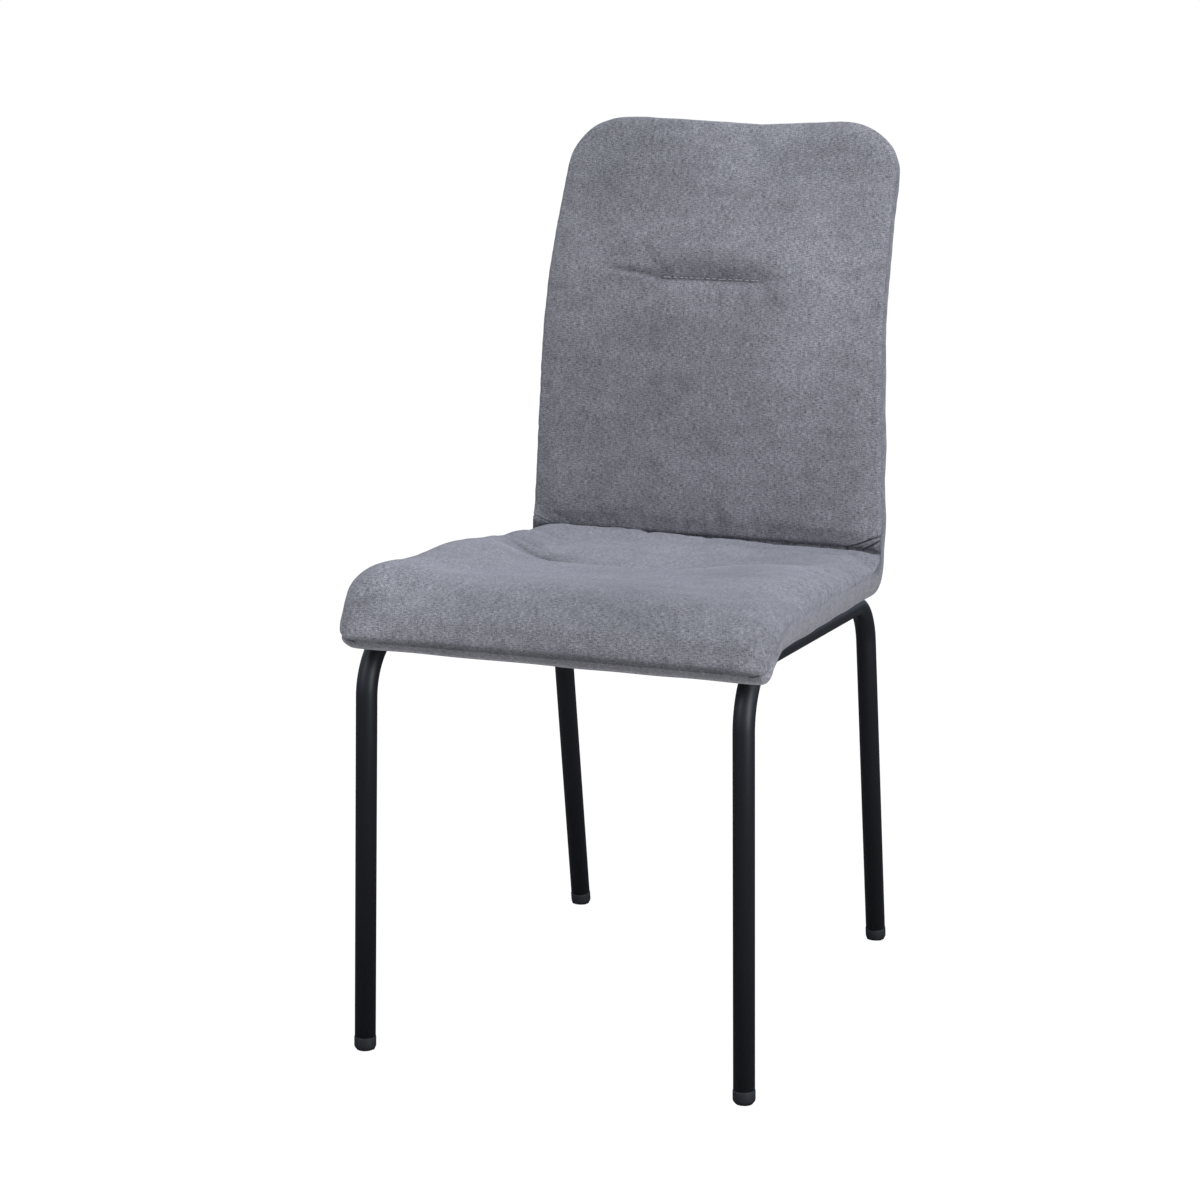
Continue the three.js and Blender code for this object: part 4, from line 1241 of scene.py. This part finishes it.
def turned(name, outline, sides, origin, axis):
    """A turned piece from pairs of radius and height along its axis."""
    work = bmesh.new()
    turn = Vector((0, 0, 1)).rotation_difference(Vector(axis).normalized()).to_matrix().to_4x4()
    place = Matrix.Translation(origin) @ turn
    rings = []
    for radius, height in outline:
        if radius < 1e-7:
            rings.append([work.verts.new(place @ Vector((0, 0, height)))])
            continue
        rings.append([
            work.verts.new(place @ Vector((radius * math.cos(a), radius * math.sin(a), height)))
            for a in (2 * math.pi * k / sides for k in range(sides))
        ])
    for low, high in zip(rings, rings[1:]):
        for k in range(sides):
            corners = [low[k % len(low)], low[(k + 1) % len(low)],
                       high[(k + 1) % len(high)], high[k % len(high)]]
            corners = list(dict.fromkeys(corners))  # a point at the axis counts once
            if len(corners) > 2:
                work.faces.new(corners)
    return object_from_bmesh(name, work)


def side_corners(side):
    """Centreline corners of a side frame, from the front foot to the rear foot."""
    point, normal = profile(np.array(RUN_START["seat"]))
    drop = -UNDER_DEPTH[0] - RAIL_GAP - TUBE_RADIUS
    rail = point + normal * drop
    slope = math.tan(math.atan2(-normal[0], normal[1]))
    middle = LEG_FRAME_MIDDLE_Y

    def corner(x, foot_y, rake):
        y = (foot_y + rake * (rail[1] - slope * rail[0])) / (1 - rake * slope)
        return Vector((side * x, y, rail[1] + slope * (y - rail[0])))

    front_foot = Vector((side * FOOT_X[0], middle - FOOT_OUT, 0))
    rear_foot = Vector((side * FOOT_X[1], middle + FOOT_OUT, 0))
    front = corner(FRONT_CORNER_X, front_foot.y, LEG_RAKE[0])
    rear = corner(FOOT_X[1], rear_foot.y, LEG_RAKE[1])
    return front_foot, front, rear, rear_foot


def bent_line(corners, radius, steps):
    """Points along straight stretches joined by round bends."""
    line = [corners[0]]
    for before, corner, after in zip(corners, corners[1:], corners[2:]):
        back, ahead = (before - corner).normalized(), (after - corner).normalized()
        half = back.angle(ahead) / 2
        to_centre = (back + ahead).normalized() * (radius / math.sin(half))
        arm = back * (radius / math.tan(half)) - to_centre
        axis = back.cross(ahead).normalized()
        sweep = math.pi - 2 * half
        for k in range(steps + 1):
            turn = Matrix.Rotation(-sweep * k / steps, 3, axis)
            line.append(corner + to_centre + turn @ arm)
    line.append(corners[-1])
    return line


def tube_along(name, line, radius, wall, sides):
    """A round tube with a wall, along a line, with plain cut ends."""
    work = bmesh.new()
    frames = []
    side = None
    for k, point in enumerate(line):
        before, after = line[max(k - 1, 0)], line[min(k + 1, len(line) - 1)]
        along = ((point - before).normalized() + (after - point).normalized()).normalized()
        if side is None:
            side = along.cross(Vector((1, 0, 0))).normalized()
        side = (side - along * side.dot(along)).normalized()
        frames.append((point, side, along.cross(side)))
    shells = []
    for r in (radius, radius - wall):
        shells.append([
            [work.verts.new(p + a * (r * math.cos(t)) + b * (r * math.sin(t)))
             for t in (2 * math.pi * k / sides for k in range(sides))]
            for p, a, b in frames
        ])
    for rings in shells:
        for low, high in zip(rings, rings[1:]):
            for k in range(sides):
                work.faces.new((low[k], low[(k + 1) % sides], high[(k + 1) % sides], high[k]))
    for end in (0, -1):
        outer, inner = shells[0][end], shells[1][end]
        for k in range(sides):
            work.faces.new((outer[k], outer[(k + 1) % sides], inner[(k + 1) % sides], inner[k]))
    return object_from_bmesh(name, work)


def put_faces_in_order(work):
    """Lists a mesh's faces in the same order each run, which Blender's spheres don't do by themselves."""
    work.verts.index_update()
    count = len(work.verts)

    def order(face):
        low, second, third = sorted(vert.index for vert in face.verts)[:3]
        return (low * count + second) * count + third

    work.faces.sort(key=order)


class CHAIR_OT_leg_frame(bpy.types.Operator):
    """Bend the two side tubes and lay the weld beads that join the crossbars to them"""

    bl_idname = "chair.leg_frame"
    bl_label = "Leg frame"

    def execute(self, context):
        paint = material("black_paint")
        for name, side in (("left", -1), ("right", 1)):
            front_foot, front, rear, rear_foot = side_corners(side)
            ends = (front_foot + (front - front_foot).normalized() * CAP_RIM,
                    rear_foot + (rear - rear_foot).normalized() * CAP_RIM)
            line = bent_line([ends[0], front, rear, ends[1]], BEND_RADIUS, BEND_STEPS)
            tube = tube_along(f"leg_tube_{name}", line, TUBE_RADIUS, TUBE_WALL, TUBE_SIDES)
            finish_piece(tube, paint)
            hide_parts(f"side_tube_{name}")
        for end in ("front", "rear"):
            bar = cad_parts[f"crossbar_{end}"]
            bar.data.materials.clear()
            bar.data.materials.append(paint)
            self.weld(end, paint)
        return {"FINISHED"}

    def weld(self, end, paint):
        """Rippled beads along the lower edges of a crossbar's two ends."""
        low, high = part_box(f"crossbar_{end}")
        work = bmesh.new()
        for side in (-1, 1):
            _, front, rear, _ = side_corners(side)
            for y in (low.y + 0.002, high.y - 0.002):
                share = (y - front.y) / (rear.y - front.y)
                rail = front.lerp(rear, share)
                out = TUBE_RADIUS + BEAD_PROUD
                for k in range(BEADS):
                    angle = math.radians(-BEAD_SWEEP / 2 + BEAD_SWEEP * k / (BEADS - 1))
                    centre = rail + Vector((-side * math.cos(angle) * out, 0, math.sin(angle) * out))
                    made = bmesh.ops.create_uvsphere(work, u_segments=10, v_segments=6,
                                                     radius=BEAD_RADIUS)
                    bmesh.ops.translate(work, verts=made["verts"], vec=centre)
        put_faces_in_order(work)
        beads = object_from_bmesh(f"weld_beads_{end}", work)
        finish_piece(beads, paint)


class CHAIR_OT_feet(bpy.types.Operator):
    """Push the four plastic feet into the tube ends"""

    bl_idname = "chair.feet"
    bl_label = "Feet"

    def execute(self, context):
        plastic = material("black_plastic")
        for name, side in (("left", -1), ("right", 1)):
            front_foot, front, rear, rear_foot = side_corners(side)
            for end, foot, corner in (("front", front_foot, front), ("rear", rear_foot, rear)):
                axis = (corner - foot).normalized()
                outline = list(CAP_UNDERSIDE)
                for k in range(7):
                    angle = math.radians(90 * k / 6)
                    outline.append((FOOT_CAP_RADIUS - CAP_EDGE[0] * (1 - math.sin(angle)),
                                    CAP_EDGE[1] * (1 - math.cos(angle))))
                outline += [(FOOT_CAP_RADIUS, 0.0132), (FOOT_CAP_RADIUS - 0.0003, 0.0139),
                            (FOOT_CAP_RADIUS - 0.0009, 0.0145), *CAP_STEM]
                cap = turned(f"foot_{end}_{name}", outline, CAP_SIDES, foot, axis)
                for vert in cap.data.vertices:
                    vert.co.z = max(vert.co.z, 0.0)
                    if vert.co.z < CAP_WORN:
                        vert.co.z = max(0.0, vert.co.z - CAP_WORN)
                finish_piece(cap, plastic)
                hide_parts(f"foot_cap_{end}_{name}")
        return {"FINISHED"}


class CHAIR_OT_fasteners(bpy.types.Operator):
    """Finish the screws, the washers, the tee nuts and the shell inside the cover"""

    bl_idname = "chair.fasteners"
    bl_label = "Fasteners and shell"

    def execute(self, context):
        zinc, wood = material("zinc_steel"), material("moulded_plywood")
        for name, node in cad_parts.items():
            hard = name.startswith(("seat_screw", "washer", "tee_nut"))
            if hard or name == "plywood_shell":
                node.data.materials.clear()
                node.data.materials.append(zinc if hard else wood)
            if name.startswith(("seat_screw", "washer")):
                rounding = node.modifiers.new("rounded_edges", "BEVEL")
                rounding.width = 0.00025
                rounding.segments = 3
                rounding.limit_method = "ANGLE"
        return {"FINISHED"}


# ------------------------------------------------------------------ operator: stage


def area_light(name, place, target, size, power, colour):
    data = bpy.data.lights.new(name, "AREA")
    data.shape = "RECTANGLE"
    data.size, data.size_y = size
    data.energy = power
    data.color = colour
    light = bpy.data.objects.new(name, data)
    light.location = place
    light.rotation_euler = (Vector(target) - Vector(place)).to_track_quat("-Z", "Y").to_euler()
    bpy.context.scene.collection.objects.link(light)


class CHAIR_OT_stage(bpy.types.Operator):
    """Set the pale floor, the soft lights and the camera"""

    bl_idname = "chair.stage"
    bl_label = "Stage"

    def execute(self, context):
        scene = context.scene
        settings = scene.chair_stage
        scene.view_settings.view_transform = "Standard"
        half = STUDIO_FLOOR_HALF
        corners = [(x, y, -STUDIO_FLOOR_DROP)
                   for x, y in ((-half, -half), (half, -half), (half, half), (-half, half))]
        floor = new_object("studio_floor", corners, [(0, 1, 2, 3)])
        floor.data.materials.append(self.floor_material())
        self.world(scene)
        for light in STUDIO_LIGHTS:
            area_light(*light)
        data = bpy.data.cameras.new("studio_camera")
        data.lens = settings.camera_lens
        data.sensor_width = 36
        data.clip_end = 50
        camera = bpy.data.objects.new("studio_camera", data)
        camera.location = (settings.camera_aside, LEG_FRAME_MIDDLE_Y - settings.camera_ahead,
                           settings.camera_height)
        camera.rotation_euler = (math.pi / 2 - settings.camera_tilt, 0, settings.camera_turn)
        scene.collection.objects.link(camera)
        scene.camera = camera
        return {"FINISHED"}

    def floor_material(self):
        """Plain white to the camera, softly lit for the chair, and dim in its reflections."""
        made, nodes, lit = new_material("studio_white")
        lit.inputs["Base Color"].default_value = FLOOR_COLOUR
        lit.inputs["Roughness"].default_value = 0.9
        lit.inputs["Specular IOR Level"].default_value = 0.0
        dim = nodes.add("ShaderNodeBsdfDiffuse", {"Color": FLOOR_IN_REFLECTIONS})
        glow = nodes.add("ShaderNodeEmission", {"Color": (1, 1, 1, 1), "Strength": 1.06})
        path = nodes.add("ShaderNodeLightPath").outputs
        chair = nodes.add("ShaderNodeMixShader", {0: path["Is Glossy Ray"], 1: lit.outputs[0],
                                                  2: dim.outputs[0]})
        share = nodes.math("MULTIPLY", path["Is Camera Ray"], 0.95)
        mixed = nodes.add("ShaderNodeMixShader", {0: share, 1: chair.outputs[0], 2: glow.outputs[0]})
        out = next(n for n in nodes.tree.nodes if n.type == "OUTPUT_MATERIAL")
        nodes.tree.links.new(mixed.outputs[0], out.inputs["Surface"])
        return made

    def world(self, scene):
        """White to the camera, softly lit for the chair, and cooler in its reflections."""
        world = bpy.data.worlds.new("studio_air")
        scene.world = world
        world.use_nodes = True
        tree = world.node_tree
        tree.nodes.clear()
        nodes = Nodes(tree)
        seen = nodes.add("ShaderNodeBackground", {"Color": (1, 1, 1, 1), "Strength": 1.0})
        felt = nodes.add("ShaderNodeBackground", {"Color": (0.93, 0.96, 1, 1), "Strength": 0.44})
        dim = nodes.add("ShaderNodeBackground", {"Color": (0.70, 0.86, 1.0, 1), "Strength": 0.75})
        path = nodes.add("ShaderNodeLightPath").outputs
        lit = nodes.add("ShaderNodeMixShader", {0: path["Is Glossy Ray"], 1: felt.outputs[0],
                                                2: dim.outputs[0]})
        mixed = nodes.add("ShaderNodeMixShader", {0: path["Is Camera Ray"], 1: lit.outputs[0],
                                                  2: seen.outputs[0]})
        out = nodes.add("ShaderNodeOutputWorld")
        tree.links.new(mixed.outputs[0], out.inputs["Surface"])


# ------------------------------------------------------------------ panel and registration


class VIEW3D_PT_chair(bpy.types.Panel):
    """Sizes, colours and steps of the chair"""

    bl_label = "Chair"
    bl_space_type = "VIEW_3D"
    bl_region_type = "UI"
    bl_category = "Chair"

    def draw(self, context):
        layout = self.layout
        for group in ("chair_upholstery", "chair_finishes", "chair_stage"):
            settings = getattr(context.scene, group)
            box = layout.box()
            for key in settings.bl_rna.properties.keys():
                if key not in ("rna_type", "name"):
                    box.prop(settings, key)
        for step in STEPS:
            layout.operator(step.bl_idname)


STEPS = (CHAIR_OT_stage, CHAIR_OT_cushion, CHAIR_OT_rear_cover, CHAIR_OT_stitching,
         CHAIR_OT_leg_frame, CHAIR_OT_feet, CHAIR_OT_fasteners)
GROUPS = {"chair_upholstery": ChairUpholstery, "chair_finishes": ChairFinishes,
          "chair_stage": ChairStage}


def register():
    for cls in (*GROUPS.values(), *STEPS, VIEW3D_PT_chair):
        bpy.utils.register_class(cls)
    for name, group in GROUPS.items():
        setattr(bpy.types.Scene, name, bpy.props.PointerProperty(type=group))


def unregister():
    for name in GROUPS:
        delattr(bpy.types.Scene, name)
    for cls in reversed((*GROUPS.values(), *STEPS, VIEW3D_PT_chair)):
        bpy.utils.unregister_class(cls)


def main():
    register()
    for step in STEPS:
        area, name = step.bl_idname.split(".")
        getattr(getattr(bpy.ops, area), name)()


if __name__ == "__main__":
    main()
